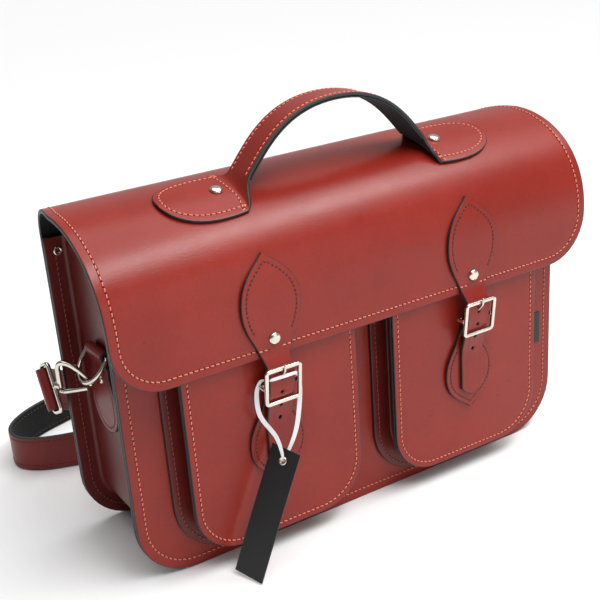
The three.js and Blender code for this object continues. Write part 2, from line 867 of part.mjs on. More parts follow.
const longStrapRoute = [
  strapStart,
  strapLead,
  vector(-193, 98, 102),
  vector(-172, 127, 82),
  vector(-145, 150, 59),
  vector(-112, 168, 34),
  vector(-70, 178, 20),
  vector(-30, 182, strapFloorZ),
  vector(20, 186, strapFloorZ),
  vector(58, 200, strapFloorZ),
  vector(70, 224, strapFloorZ),
  vector(52, 246, strapFloorZ),
  vector(0, 254, strapFloorZ),
  vector(-70, 250, strapFloorZ),
  vector(-130, 240, strapFloorZ),
  vector(-180, 223, strapFloorZ),
  vector(-207, 202, strapFloorZ),
  vector(-213, 180, strapFloorZ),
  vector(-200, 162, strapFloorZ),
  vector(-170, 149, strapFloorZ),
  vector(-110, 133, strapFloorZ),
  vector(-40, 121, strapFloorZ),
  vector(30, 113, strapFloorZ + 1.5),
  vector(adjusterX - 3, 109, adjusterZ),
];

const shortStrapRoute = [
  vector(adjusterX + 3, 108.5, adjusterZ),
  vector(104, 107, adjusterZ + 3),
  vector(138, 103, strapFloorZ + 25),
  vector(165, 98, strapFloorZ + 50),
  vector(188, 88, strapFloorZ + 76),
  strapLead.clone().setX(-strapLead.x),
  strapStart.clone().setX(-strapStart.x),
];

// A flat band on its edge: a box whose length is bent along the route, its width staying upright.
const flatBand = (route, width, thickness, steps) => {
  const curve = new THREE.CatmullRomCurve3(route);
  const band = new THREE.BoxGeometry(1, thickness, width, steps, 1, 1);
  const places = band.attributes.position;
  for (let i = 0; i < places.count; i += 1) {
    const part = THREE.MathUtils.clamp(places.getX(i) + 0.5, 0, 1);
    const along = curve.getTangentAt(part);
    const side = vector(0, 0, 1).cross(along).normalize();
    const across = along.clone().cross(side);
    const place = curve.getPointAt(part);
    place.addScaledVector(side, places.getY(i));
    place.addScaledVector(across, places.getZ(i));
    places.setXYZ(i, place.x, place.y, place.z);
  }
  return band;
};

// The adjusting buckle lies against the strap's rear face, with its bar between the two straps.
const adjusterFace = 111.5;
const adjusterWire = 1.5;

const makeAdjusterFrame = () => {
  const halfWidth = 11;
  const halfHeight = shoulderStrapWidth / 2 + 3;
  const y = adjusterFace + adjusterWire;
  const corner = (u, v) => vector(adjusterX + u * halfWidth, y, adjusterZ + v * halfHeight);
  const ball = (u, v) => {
    const place = corner(u, v);
    return new THREE.SphereGeometry(adjusterWire, 10, 6).translate(place.x, place.y, place.z);
  };
  return join(
    rodBetween(corner(-1, -1), corner(1, -1), adjusterWire),
    rodBetween(corner(1, -1), corner(1, 1), adjusterWire),
    rodBetween(corner(1, 1), corner(-1, 1), adjusterWire),
    rodBetween(corner(-1, 1), corner(-1, -1), adjusterWire),
    rodBetween(corner(0, -1), corner(0, 1), 1.3),
    ball(-1, -1),
    ball(1, -1),
    ball(1, 1),
    ball(-1, 1),
  );
};

const makeAdjusterProng = () => {
  const y = adjusterFace + adjusterWire;
  const bar = (radius, half) => rodBetween(
    vector(adjusterX, y, adjusterZ - half),
    vector(adjusterX, y, adjusterZ + half),
    radius,
  );
  const pin = block(11, 1.4, 2, adjusterX - 7.5, y + 2.4, adjusterZ);
  const tip = block(2.4, 1.4, 2, adjusterX - 12.6, y + 2.4, adjusterZ);
  return cut(join(bar(3, 1.2), pin, tip), bar(1.3 + gap, 3));
};

// The keeper is a leather loop that fits round the short strap.
const makeStrapKeeper = () => {
  const slope = new THREE.Matrix4().makeRotationY(THREE.MathUtils.degToRad(-14));
  const outer = block(8, 8.4, shoulderStrapWidth + 5, 0, 0, 0).applyMatrix4(slope);
  const room = flatBand(
    shortStrapRoute,
    shoulderStrapWidth + 2 * gap,
    shoulderStrapThickness + 2 * gap,
    shortStrapSteps,
  );
  return cut(outer.translate(110, 106.6, adjusterZ + 5), room);
};

// ---- swing tag on its ribbon ----
const tagWidth = 25;
const tagLength = 100;
const tagTop = vector(-94.5, -93, 94);
const tagTwist = -68;
const tagLean = 24;
const tagThickness = 0.8;

const tagPlacement = () => {
  const lean = new THREE.Matrix4().makeRotationY(THREE.MathUtils.degToRad(tagLean));
  const twist = new THREE.Matrix4().makeRotationZ(THREE.MathUtils.degToRad(tagTwist));
  return lean.multiply(twist).setPosition(tagTop);
};

const tagHoleDrop = 9;

const makeTag = () => {
  const shape = new THREE.Shape();
  shape.moveTo(-tagWidth / 2, -tagLength);
  shape.lineTo(tagWidth / 2, -tagLength);
  shape.lineTo(tagWidth / 2, 0);
  shape.lineTo(-tagWidth / 2, 0);
  const hole = new THREE.Path();
  hole.absarc(0, -tagHoleDrop, 2.6, 0, 2 * Math.PI, true);
  shape.holes.push(hole);
  return frontPlate(shape, tagThickness / 2, tagThickness, 8).applyMatrix4(tagPlacement());
};

const makeTagEyelet = () => {
  const face = tagThickness / 2 + gap;
  const profile = [
    new THREE.Vector2(1.6, -face - 0.4),
    new THREE.Vector2(3.6, -face - 0.4),
    new THREE.Vector2(3.6, -face),
    new THREE.Vector2(2.3, -face),
    new THREE.Vector2(2.3, face),
    new THREE.Vector2(3.6, face),
    new THREE.Vector2(3.6, face + 0.4),
    new THREE.Vector2(1.6, face + 0.4),
    new THREE.Vector2(1.6, -face - 0.4),
  ];
  const ring = new THREE.LatheGeometry(profile, 16);
  return ring.translate(0, 0, -tagHoleDrop).applyMatrix4(tagPlacement());
};

const ribbonRadius = 0.45;

// The ribbon crosses the closure strap inside the buckle and its two strands meet in the tag.
const makeRibbon = () => {
  const x = -closureX;
  const y = buckleBarY;
  const inside = strapHalfWidth + 0.72;
  const atHole = (outward, up) => (
    vector(0, -outward, up - tagHoleDrop).applyMatrix4(tagPlacement())
  );
  const route = [
    atHole(0.2, 0),
    atHole(1.6, 0),
    atHole(2.6, 4),
    vector(x - 10, y - 9, 104),
    vector(x - 19, y - 5, 122),
    vector(x - 18, y - 0.5, 136),
    vector(x - inside - 2.5, y + 1.4, 144),
    vector(x - inside, y - 1.5, 146.5),
    vector(x - inside, y - 7.7, 148.6),
    vector(x - inside + 1.3, y - 9.9, 149.2),
    vector(x, y - 10.6, 149.5),
    vector(x + inside - 1.3, y - 9.9, 149),
    vector(x + inside, y - 7.7, 148.4),
    vector(x + inside, y - 1.5, 146.5),
    vector(x + inside + 2.5, y + 1.4, 144),
    vector(x + 18.5, y + 0.5, 135),
    vector(x + 12, y - 6, 116),
    vector(x + 5, y - 10, 102),
    atHole(-2.6, 4),
    atHole(-1.6, 0),
    atHole(-0.2, 0),
  ];
  return tubeAlong(route, ribbonRadius, 44, 6);
};

// ---- assembly ----
addMesh('front_panel', makeFrontPanel(), redLeather);
addMesh('back_panel', makeBackPanel(), redLeather);
addMesh('main_gusset', makeMainGusset(), darkLeather);
addMesh('flap', makeFlap(), redLeather);
addMesh('handle_outer', makeHandleOuter(), redLeather);
addMesh('handle_lining', makeHandleLining(), darkLeather);
addMesh('woven_label', block(8, 0.6, 28, 183.6, frontFace - gap - 0.3, 95), blackCard);

for (const [name, side] of [['left', -1], ['right', 1]]) {
  addMesh(`rear_eyelet_${name}`, makeRearEyelet(side), nickel);
  addMesh(`pocket_front_${name}`, makePocketFront(side), redLeather);
  addMesh(`pocket_gusset_${name}`, makePocketGusset(side), darkLeather);
  addMesh(`closure_strap_${name}`, makeClosureStrap(side), redLeather);
  addMesh(`closure_rivet_${name}`, makeLeafRivet(side), nickel);
  addMesh(`buckle_patch_${name}`, makeLowerPatch(side), redLeather);
  addMesh(`buckle_frame_${name}`, makeBuckleFrame(side), nickel);
  addMesh(`buckle_prong_${name}`, makeBuckleProng(side), nickel);
  addMesh(`handle_rivet_${name}`, makeHandleRivet(side), nickel);
  addMesh(`side_tab_${name}`, onSide(side, cut(makeSideTab(), tabRivetBore())), redLeather);
  addMesh(`side_tab_rivet_${name}`, onSide(side, makeTabRivet()), nickel);
  addMesh(`d_ring_${name}`, onSide(side, makeRing().applyMatrix4(ringPlacement())), nickel);
  addMesh(`snap_hook_${name}`, onSide(side, makeHookBody()), nickel);
  addMesh(`hook_gate_${name}`, onSide(side, makeHookGate()), nickel);
  addMesh(`strap_loop_${name}`, onSide(side, makeStrapLoop()), nickel);
  addMesh(`strap_end_${name}`, onSide(side, makeStrapEnd()), redLeather);
  addMesh(
    `strap_end_rivet_upper_${name}`,
    onSide(side, makeStrapEndRivet(strapEndRivetSpread)),
    nickel,
  );
  addMesh(
    `strap_end_rivet_lower_${name}`,
    onSide(side, makeStrapEndRivet(-strapEndRivetSpread)),
    nickel,
  );
}

addMesh(
  'shoulder_strap_long',
  flatBand(longStrapRoute, shoulderStrapWidth, shoulderStrapThickness, 80),
  redLeather,
);
addMesh(
  'shoulder_strap_short',
  flatBand(shortStrapRoute, shoulderStrapWidth, shoulderStrapThickness, shortStrapSteps),
  redLeather,
);
addMesh('adjuster_frame', makeAdjusterFrame(), nickel);
addMesh('adjuster_prong', makeAdjusterProng(), nickel);
addMesh('strap_keeper', makeStrapKeeper(), redLeather);
addMesh('ribbon', makeRibbon(), whiteRibbon);
addMesh('swing_tag', makeTag(), blackCard);
addMesh('tag_eyelet', makeTagEyelet(), nickel);

export default bag;
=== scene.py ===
"""A red leather satchel with two buckled pockets, a top handle and a clip-on shoulder strap.

Shapes are worked out in millimetres from the middle of the bag's body: X to the right seen from
the front, the front facing -Y, Z up. They are turned into metres in the frame as they are made.
"""

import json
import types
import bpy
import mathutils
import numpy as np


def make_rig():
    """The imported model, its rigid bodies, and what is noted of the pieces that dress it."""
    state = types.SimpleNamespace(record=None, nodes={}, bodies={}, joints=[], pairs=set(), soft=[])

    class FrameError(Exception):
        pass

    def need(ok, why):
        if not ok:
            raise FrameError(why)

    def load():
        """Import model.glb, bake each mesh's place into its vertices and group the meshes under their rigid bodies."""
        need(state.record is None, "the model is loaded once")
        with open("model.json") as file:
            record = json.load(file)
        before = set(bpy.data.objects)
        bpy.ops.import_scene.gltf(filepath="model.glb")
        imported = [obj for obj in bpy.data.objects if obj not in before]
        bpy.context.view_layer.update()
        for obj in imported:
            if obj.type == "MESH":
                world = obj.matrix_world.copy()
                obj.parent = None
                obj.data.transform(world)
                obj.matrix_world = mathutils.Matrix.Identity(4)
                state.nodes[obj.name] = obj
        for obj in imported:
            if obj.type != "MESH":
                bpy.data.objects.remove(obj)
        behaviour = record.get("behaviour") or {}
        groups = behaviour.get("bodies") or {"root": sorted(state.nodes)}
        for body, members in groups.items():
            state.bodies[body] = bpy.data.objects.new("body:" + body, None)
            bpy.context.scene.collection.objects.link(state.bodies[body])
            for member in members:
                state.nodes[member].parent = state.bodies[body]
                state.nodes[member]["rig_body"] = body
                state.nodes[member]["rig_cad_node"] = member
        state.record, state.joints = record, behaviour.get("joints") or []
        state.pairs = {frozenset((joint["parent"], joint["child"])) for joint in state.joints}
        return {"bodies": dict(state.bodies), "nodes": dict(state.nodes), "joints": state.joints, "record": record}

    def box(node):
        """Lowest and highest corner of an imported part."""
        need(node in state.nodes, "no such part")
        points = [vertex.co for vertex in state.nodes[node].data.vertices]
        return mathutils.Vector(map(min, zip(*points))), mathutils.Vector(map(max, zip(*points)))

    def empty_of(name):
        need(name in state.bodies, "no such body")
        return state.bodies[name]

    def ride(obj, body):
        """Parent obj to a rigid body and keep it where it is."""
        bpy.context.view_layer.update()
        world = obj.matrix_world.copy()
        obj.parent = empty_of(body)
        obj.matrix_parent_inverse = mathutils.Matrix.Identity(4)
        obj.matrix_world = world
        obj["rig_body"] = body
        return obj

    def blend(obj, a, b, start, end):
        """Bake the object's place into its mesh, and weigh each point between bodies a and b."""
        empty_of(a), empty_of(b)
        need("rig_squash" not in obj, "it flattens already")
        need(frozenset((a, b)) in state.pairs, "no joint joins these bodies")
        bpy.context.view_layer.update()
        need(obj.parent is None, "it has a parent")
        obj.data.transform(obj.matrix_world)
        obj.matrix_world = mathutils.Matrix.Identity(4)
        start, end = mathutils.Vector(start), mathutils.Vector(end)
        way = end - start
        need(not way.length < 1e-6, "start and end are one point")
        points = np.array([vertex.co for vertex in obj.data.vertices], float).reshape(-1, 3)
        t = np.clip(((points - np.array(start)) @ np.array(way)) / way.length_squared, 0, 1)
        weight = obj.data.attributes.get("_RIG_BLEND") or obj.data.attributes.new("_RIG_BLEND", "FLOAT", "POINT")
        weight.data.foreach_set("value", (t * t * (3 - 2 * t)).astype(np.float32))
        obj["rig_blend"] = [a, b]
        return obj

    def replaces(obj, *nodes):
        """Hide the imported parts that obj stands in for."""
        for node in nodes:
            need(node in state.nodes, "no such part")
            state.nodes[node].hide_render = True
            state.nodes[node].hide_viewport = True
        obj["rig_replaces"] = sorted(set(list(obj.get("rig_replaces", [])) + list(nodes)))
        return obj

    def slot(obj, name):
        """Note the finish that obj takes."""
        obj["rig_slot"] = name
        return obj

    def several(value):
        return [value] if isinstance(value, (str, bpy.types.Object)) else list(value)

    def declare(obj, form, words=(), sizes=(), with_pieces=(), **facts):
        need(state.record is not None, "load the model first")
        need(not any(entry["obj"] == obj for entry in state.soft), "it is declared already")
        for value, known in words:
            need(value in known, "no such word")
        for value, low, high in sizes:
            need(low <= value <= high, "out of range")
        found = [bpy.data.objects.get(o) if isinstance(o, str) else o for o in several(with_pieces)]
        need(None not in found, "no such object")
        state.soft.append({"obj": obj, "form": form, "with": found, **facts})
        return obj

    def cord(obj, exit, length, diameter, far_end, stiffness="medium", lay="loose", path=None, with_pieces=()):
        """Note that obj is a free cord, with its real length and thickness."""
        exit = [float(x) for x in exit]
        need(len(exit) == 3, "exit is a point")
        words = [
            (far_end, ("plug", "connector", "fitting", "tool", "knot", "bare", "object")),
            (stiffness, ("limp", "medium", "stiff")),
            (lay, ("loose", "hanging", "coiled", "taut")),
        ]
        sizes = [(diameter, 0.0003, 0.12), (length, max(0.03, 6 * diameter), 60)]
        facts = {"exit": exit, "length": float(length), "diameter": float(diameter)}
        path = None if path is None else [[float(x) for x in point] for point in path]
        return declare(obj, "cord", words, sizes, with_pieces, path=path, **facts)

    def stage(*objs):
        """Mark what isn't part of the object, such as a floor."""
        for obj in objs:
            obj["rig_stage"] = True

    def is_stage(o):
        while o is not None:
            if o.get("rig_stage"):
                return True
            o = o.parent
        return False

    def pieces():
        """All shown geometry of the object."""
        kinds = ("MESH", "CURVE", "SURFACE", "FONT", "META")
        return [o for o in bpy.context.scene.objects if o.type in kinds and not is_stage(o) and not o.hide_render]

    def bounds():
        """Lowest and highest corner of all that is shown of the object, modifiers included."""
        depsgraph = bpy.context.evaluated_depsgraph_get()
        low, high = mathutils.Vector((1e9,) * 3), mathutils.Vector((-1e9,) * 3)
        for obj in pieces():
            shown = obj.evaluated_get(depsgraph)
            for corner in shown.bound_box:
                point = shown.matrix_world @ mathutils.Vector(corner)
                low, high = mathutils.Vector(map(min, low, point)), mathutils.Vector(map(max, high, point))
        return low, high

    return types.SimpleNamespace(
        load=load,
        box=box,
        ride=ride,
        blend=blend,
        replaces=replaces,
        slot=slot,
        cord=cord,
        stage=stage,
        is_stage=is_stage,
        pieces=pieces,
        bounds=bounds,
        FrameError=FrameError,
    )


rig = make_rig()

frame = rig.load()

import json
import math

import bpy
from mathutils import Matrix, Vector, noise

CAD_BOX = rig.bounds()
MM = 0.001
SIZE_FILE = "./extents.json"
SIDES = (("left", -1), ("right", 1))


def frame_box(node):
    """A CAD node's lowest and highest corners, in millimetres from the middle of the bag's body."""
    return tuple((corner / MM) - Vector((0, FRONT_SHIFT, 0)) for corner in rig.box(node))


def to_metres(point):
    return Vector((point[0], point[1] + FRONT_SHIFT, point[2])) * MM


# ---- driving dimensions, in millimetres ----
FRONT_SHIFT = sum(corner.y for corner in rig.box("back_panel")) / 2 / MM - 51.5
GAP = 0.3
LEATHER = 3.0
PANEL_LOW, PANEL_HIGH = frame_box("front_panel")
HALF_WIDTH = PANEL_HIGH.x
PANEL_TOP = PANEL_HIGH.z
FRONT_FACE = PANEL_LOW.y
BACK_FACE = -FRONT_FACE
PANEL_CORNER = 45.0
PANEL_SEAM = 7.4
GUSSET_FLANGE = 16.0
GUSSET_TOP = 243.0
WALL_BELLY = 0.35

POCKET_INNER, POCKET_OUTER = 17.0, 162.0
POCKET_BOTTOM, POCKET_TOP = 17.0, 200.0
POCKET_CORNER = 38.0
POCKET_LEATHER = 2.5
POCKET_FLANGE = 8.0
POCKET_SPREAD = 8.0
POCKET_SEAM = 5.0
POCKET_FACE = FRONT_FACE - 21.0

FLAP_HALF_WIDTH = 210.5
FLAP_BOTTOM = 161.0
FLAP_CROWN = 273.5
FLAP_FACE = -79.0
FLAP_CORNER = 38.0
FLAP_SEAM = 7.0
HINGE_Z = 245.0
HINGE_BEND = 9.0

CLOSURE_X = 90.0
LEAF_HALF_WIDTH = 24.0
STRAP_HALF_WIDTH = 10.5
STRAP_LEATHER = 2.5
STRAP_ROUNDING = 0.6
LEAF_SEAM = 4.0
LEAF_STEPS = 16
LEAF_TIP, LEAF_NECK, LEAF_RIVET_Z = 236.5, 156.0, 175.0
PATCH_TIP, PATCH_NECK = 60.0, 132.0
PATCH_FACE = POCKET_FACE - GAP - STRAP_LEATHER
TAIL_END = 72.0
BUCKLE_Y, BUCKLE_Z = -80.4, 141.0
BUCKLE_HALF_HEIGHT = 13.2
BUCKLE_RAIL_X = STRAP_HALF_WIDTH + 3.2
BAR_RADIUS = 1.3
BAR_FOLD = BAR_RADIUS + 2.8

HANDLE_Y = -28.5
HANDLE_HALF_WIDTH = 13.5
HANDLE_LEATHER = 2.5
HANDLE_SEAM = 3.6
HANDLE_TOP = 324.0
HANDLE_RIVET_X = 96.5
TAB_END_X, TAB_CORNER_X, TAB_NECK_X = 143.0, 84.0, 79.0
TAB_HALF_DEPTH = 23.0

SIDE_TAB_Y = 2.0
SIDE_TAB_HALF_WIDTH = 21.0
SIDE_TAB_BOTTOM = 102.0
SIDE_TAB_FACE = -(HALF_WIDTH - GUSSET_FLANGE + GAP + 2 * STRAP_LEATHER)
RING_WIRE = 1.5
RING_BAR = Vector((-(HALF_WIDTH - GUSSET_FLANGE + STRAP_LEATHER + 2 * GAP + RING_WIRE), 2.0, 166.0))
RING_RADIUS = 17.0
RING_STRAIGHT = 7.0
RING_ANGLE = math.radians(38)

HOOK_SWIVEL = Vector((-217, 19, 141.5))
HOOK_TURN = math.radians(45)
TO_RING = Vector((math.cos(HOOK_TURN), -math.sin(HOOK_TURN), 0))
UPRIGHT = Vector((0, 0, 1))
HOOK_ACROSS = TO_RING.cross(UPRIGHT)
LOOP_DIRECTION = Vector((-0.15, 0.86, -0.42)).normalized()
LOOP_HALF_HEIGHT = 18.0
LOOP_NEAR, LOOP_FAR = 3.8, 15.8
LOOP_WIRE = 1.6
END_LENGTH = 30.0
END_TURN = math.radians(26)
END_RIVETS = ((17.0, 8.0, "upper"), (17.0, -8.0, "lower"))

SHOULDER_WIDTH = 32.0
SHOULDER_LEATHER = 3.0
STRAP_FLOOR_Z = SHOULDER_WIDTH / 2 + 0.6
ADJUSTER = Vector((86, 113, STRAP_FLOOR_Z + 5))

TAG_TOP = Vector((-94.5, -93, 94))
TAG_WIDTH, TAG_LENGTH, TAG_THICKNESS = 25.0, 100.0, 0.8
TAG_TWIST, TAG_LEAN = math.radians(-68), math.radians(24)
TAG_HOLE_DROP = 9.0


# ---- camera ----
# Where the photograph was taken from, in metres, and the directions of its picture.
CAMERA_PLACE = (-0.43784, -0.66931, 0.47750)
CAMERA_RIGHT = Vector((0.84674182, -0.52635387, -0.07732984))
CAMERA_DOWN = Vector((-0.26808046, -0.29659521, -0.91660469))
CAMERA_FORWARD = Vector((0.45952276, 0.79685813, -0.39224475))
LENS = 66.035
LENS_SHIFT = (0.0380, 0.0546)


def make_camera():
    data = bpy.data.cameras.new("camera")
    camera = bpy.data.objects.new("camera", data)
    bpy.context.scene.collection.objects.link(camera)
    camera.matrix_world = Matrix.Translation(CAMERA_PLACE) @ Matrix(
        (CAMERA_RIGHT, -CAMERA_DOWN, -CAMERA_FORWARD)
    ).transposed().to_4x4()
    data.sensor_width = 36
    data.lens = LENS
    data.shift_x, data.shift_y = LENS_SHIFT
    data.clip_start = 0.01
    data.clip_end = 30
    bpy.context.scene.camera = camera


make_camera()


# ---- materials ----
def new_material(name, roughness, metallic=0.0):
    material = bpy.data.materials.new(name)
    material.use_nodes = True
    shader = material.node_tree.nodes["Principled BSDF"]
    shader.inputs["Roughness"].default_value = roughness
    shader.inputs["Metallic"].default_value = metallic
    return material, material.node_tree, shader


def noise_node(tree, scale, detail=4.0, roughness=0.55, stretch=None):
    coordinates = tree.nodes.new("ShaderNodeTexCoord")
    node = tree.nodes.new("ShaderNodeTexNoise")
    node.inputs["Scale"].default_value = scale
    node.inputs["Detail"].default_value = detail
    node.inputs["Roughness"].default_value = roughness
    source = coordinates.outputs["Object"]
    if stretch:
        mapping = tree.nodes.new("ShaderNodeMapping")
        mapping.inputs["Scale"].default_value = stretch
        tree.links.new(source, mapping.inputs["Vector"])
        source = mapping.outputs["Vector"]
    tree.links.new(source, node.inputs["Vector"])
    return node


def colour_range(tree, source, stops):
    ramp = tree.nodes.new("ShaderNodeValToRGB")
    elements = ramp.color_ramp.elements
    while len(elements) < len(stops):
        elements.new(0.5)
    for element, (position, colour) in zip(elements, stops):
        element.position = position
        element.color = (*colour, 1)
    tree.links.new(source, ramp.inputs["Fac"])
    return ramp.outputs["Color"]


def value_range(tree, source, low, high, start=0.3, end=0.7):
    node = tree.nodes.new("ShaderNodeMapRange")
    node.inputs["From Min"].default_value = start
    node.inputs["From Max"].default_value = end
    node.inputs["To Min"].default_value = low
    node.inputs["To Max"].default_value = high
    tree.links.new(source, node.inputs["Value"])
    return node.outputs["Result"]


def add_bump(tree, shader, heights):
    """Stacks bumps given as (height output, strength, distance in metres)."""
    below = None
    for height, strength, distance in heights:
        bump = tree.nodes.new("ShaderNodeBump")
        bump.inputs["Strength"].default_value = strength
        bump.inputs["Distance"].default_value = distance
        tree.links.new(height, bump.inputs["Height"])
        if below:
            tree.links.new(below, bump.inputs["Normal"])
        below = bump.outputs["Normal"]
    tree.links.new(below, shader.inputs["Normal"])


def pebble_node(tree, scale):
    coordinates = tree.nodes.new("ShaderNodeTexCoord")
    node = tree.nodes.new("ShaderNodeTexVoronoi")
    node.feature = "SMOOTH_F1"
    node.inputs["Scale"].default_value = scale
    node.inputs["Smoothness"].default_value = 0.6
    tree.links.new(coordinates.outputs["Object"], node.inputs["Vector"])
    return node.outputs["Distance"]


def finished_leather(name, light, dark, gloss_low, gloss_high, coat):
    """Smooth pigmented leather: a faint pebbled grain, slow changes of tone and a thin coat."""
    material, tree, shader = new_material(name, gloss_low)
    tone = noise_node(tree, 14.0, 5.0, 0.6)
    speck = noise_node(tree, 420.0, 2.0, 0.5)
    mix = tree.nodes.new("ShaderNodeMix")
    mix.data_type = "RGBA"
    mix.blend_type = "OVERLAY"
    mix.inputs["Factor"].default_value = 0.12
    tree.links.new(
        colour_range(tree, tone.outputs["Fac"], ((0.32, dark), (0.68, light))),
        mix.inputs["A"],
    )
    tree.links.new(speck.outputs["Fac"], mix.inputs["B"])
    tree.links.new(mix.outputs["Result"], shader.inputs["Base Color"])
    wear = noise_node(tree, 55.0, 6.0, 0.65)
    tree.links.new(
        value_range(tree, wear.outputs["Fac"], gloss_low, gloss_high),
        shader.inputs["Roughness"],
    )
    shader.inputs["Specular IOR Level"].default_value = 0.30
    shader.inputs["Coat Weight"].default_value = coat
    shader.inputs["Coat Roughness"].default_value = 0.32
    creases = noise_node(tree, 130.0, 5.0, 0.6)
    add_bump(tree, shader, (
        (pebble_node(tree, 900.0), 0.16, 0.0003),
        (creases.outputs["Fac"], 0.10, 0.0006),
    ))
    return material


def grained(name, tones, grain, stops, gloss, relief, metallic=0.0):
    """A material that runs between two tones with a fine noise, which also gives its relief.

    grain is the noise's scale, detail and roughness; gloss is the lowest and highest roughness."""
    material, tree, shader = new_material(name, gloss[0], metallic)
    tone = noise_node(tree, *grain).outputs["Fac"]
    tree.links.new(colour_range(tree, tone, tuple(zip(stops, tones[::-1]))), shader.inputs["Base Color"])
    if gloss[0] != gloss[1]:
        tree.links.new(value_range(tree, tone, *gloss), shader.inputs["Roughness"])
    if relief:
        add_bump(tree, shader, ((tone, *relief),))
    return material, tree, shader, tone


def suede(name, *tones):
    """The flesh side of the leather: a short nap, dyed through."""
    material, tree, shader, nap = grained(
        name, tones, (260.0, 8.0, 0.7), (0.3, 0.7), (0.92, 0.92), None,
    )
    shader.inputs["Sheen Weight"].default_value = 0.06
    shader.inputs["Specular IOR Level"].default_value = 0.2
    fibres = noise_node(tree, 1500.0, 4.0, 0.6)
    add_bump(tree, shader, ((fibres.outputs["Fac"], 0.5, 0.0004), (nap, 0.3, 0.0005)))
    return material


def edge_paint(name, *tones):
    """Cut edges, burnished and dyed, with the grain of the fibres showing along them. It also makes the painted shade
    of the rear rims and of the needle holes.
    """
    return grained(name, tones, (380.0, 6.0, 0.7), (0.35, 0.7), (0.38, 0.62), (0.4, 0.0004))[0]


def thread(name, *tones):
    material, _, shader, _ = grained(
        name, tones, (900.0, 3.0, 0.6), (0.3, 0.65), (0.62, 0.62), (0.6, 0.0002),
    )
    shader.inputs["Sheen Weight"].default_value = 0.15
    return material


def plated_metal(name, light, dark, *gloss):
    """Polished nickel plate with hairline scratches and a few cloudy patches."""
    material, tree, shader, _ = grained(
        name, (light, dark), (90.0, 4.0, 0.6), (0.3, 0.7), gloss, None, 1.0,
    )
    scratches = noise_node(tree, 300.0, 3.0, 0.6, stretch=(1.0, 7.0, 2.5))
    add_bump(tree, shader, ((scratches.outputs["Fac"], 0.06, 0.0002),))
    return material


def printed_card(name, *tones):
    return grained(name, tones, (500.0, 5.0, 0.6), (0.3, 0.7), (0.36, 0.5), (0.12, 0.0002))[0]


def woven_cloth(name, light, dark, rib, roughness, sheen):
    """Tape or ribbon with its weft in fine ribs; rib is how many there are in a metre."""
    material, tree, shader = new_material(name, roughness)
    coordinates = tree.nodes.new("ShaderNodeTexCoord")
    waves = tree.nodes.new("ShaderNodeTexWave")
    waves.bands_direction = "Z"
    waves.inputs["Scale"].default_value = rib
    waves.inputs["Distortion"].default_value = 1.2
    tree.links.new(coordinates.outputs["Object"], waves.inputs["Vector"])
    tree.links.new(
        colour_range(tree, waves.outputs["Fac"], ((0.2, dark), (0.8, light))),
        shader.inputs["Base Color"],
    )
    shader.inputs["Sheen Weight"].default_value = sheen
    add_bump(tree, shader, ((waves.outputs["Fac"], 0.25, 0.0002),))
    return material


RED = finished_leather("red_leather", (0.245, 0.0165, 0.0085), (0.200, 0.0115, 0.0060), 0.27, 0.34, 0.05)
# A darker, duller copy of the red leather: painted shade for the gussets, which face away from the light.
SHADED_RED = finished_leather("deep_leather", (0.135, 0.0110, 0.0080), (0.100, 0.0080, 0.0060), 0.34, 0.44, 0.08)
# A darker copy of the red leather for the straps, the strap ends, the keeper and the side tabs: painted shade.
SHADED_STRAP = finished_leather("strap_leather", (0.190, 0.0150, 0.0110), (0.150, 0.0110, 0.0085), 0.36, 0.46, 0.08)
SUEDE = suede("black_suede", (0.0110, 0.0115, 0.0120), (0.0055, 0.0060, 0.0065))
EDGE = edge_paint("edge_paint", (0.017, 0.022, 0.022), (0.008, 0.011, 0.012))
# The rims at the back, on the back panel and the gusset's rear flange, are dark wine like the shaded leather beside
# them rather than edge paint: painted shade.
REAR_RIM_SHADE = edge_paint("wine_edge_paint", (0.034, 0.008, 0.008), (0.016, 0.005, 0.005))
ORANGE_THREAD = thread("orange_thread", (0.84, 0.235, 0.140), (0.64, 0.140, 0.085))
# The orange thread darkened: painted shade for the seams on the gussets' flanges.
SHADED_THREAD = thread("dim_orange_thread", (0.34, 0.050, 0.030), (0.22, 0.026, 0.016))
DARK_THREAD = thread("dark_thread", (0.21, 0.014, 0.008), (0.15, 0.010, 0.006))
# Dark lenses at the needle holes: painted shade in the holes.
HOLE_SHADE = edge_paint("needle_hole", (0.016, 0.003, 0.003), (0.008, 0.002, 0.002))
NICKEL = plated_metal("nickel", (0.68, 0.64, 0.57), (0.57, 0.53, 0.47), 0.10, 0.22)
CARD = printed_card("black_card", (0.010, 0.011, 0.012), (0.006, 0.0065, 0.007))
CARD_EDGE = printed_card("card_edge", (0.50, 0.46, 0.44), (0.34, 0.31, 0.30))
RIBBON = woven_cloth("white_ribbon", (0.80, 0.79, 0.81), (0.62, 0.61, 0.65), 900.0, 0.38, 0.3)
LABEL = woven_cloth("black_label", (0.018, 0.018, 0.019), (0.007, 0.007, 0.008), 420.0, 0.7, 0.1)

RED_SHEET = (RED, SUEDE, EDGE)
BACK_SHEET = (RED, SUEDE, REAR_RIM_SHADE)
SHADED_RED_SHEET = (SHADED_RED, SUEDE, EDGE, REAR_RIM_SHADE)
SHADED_STRAP_SHEET = (SHADED_STRAP, SUEDE, EDGE)


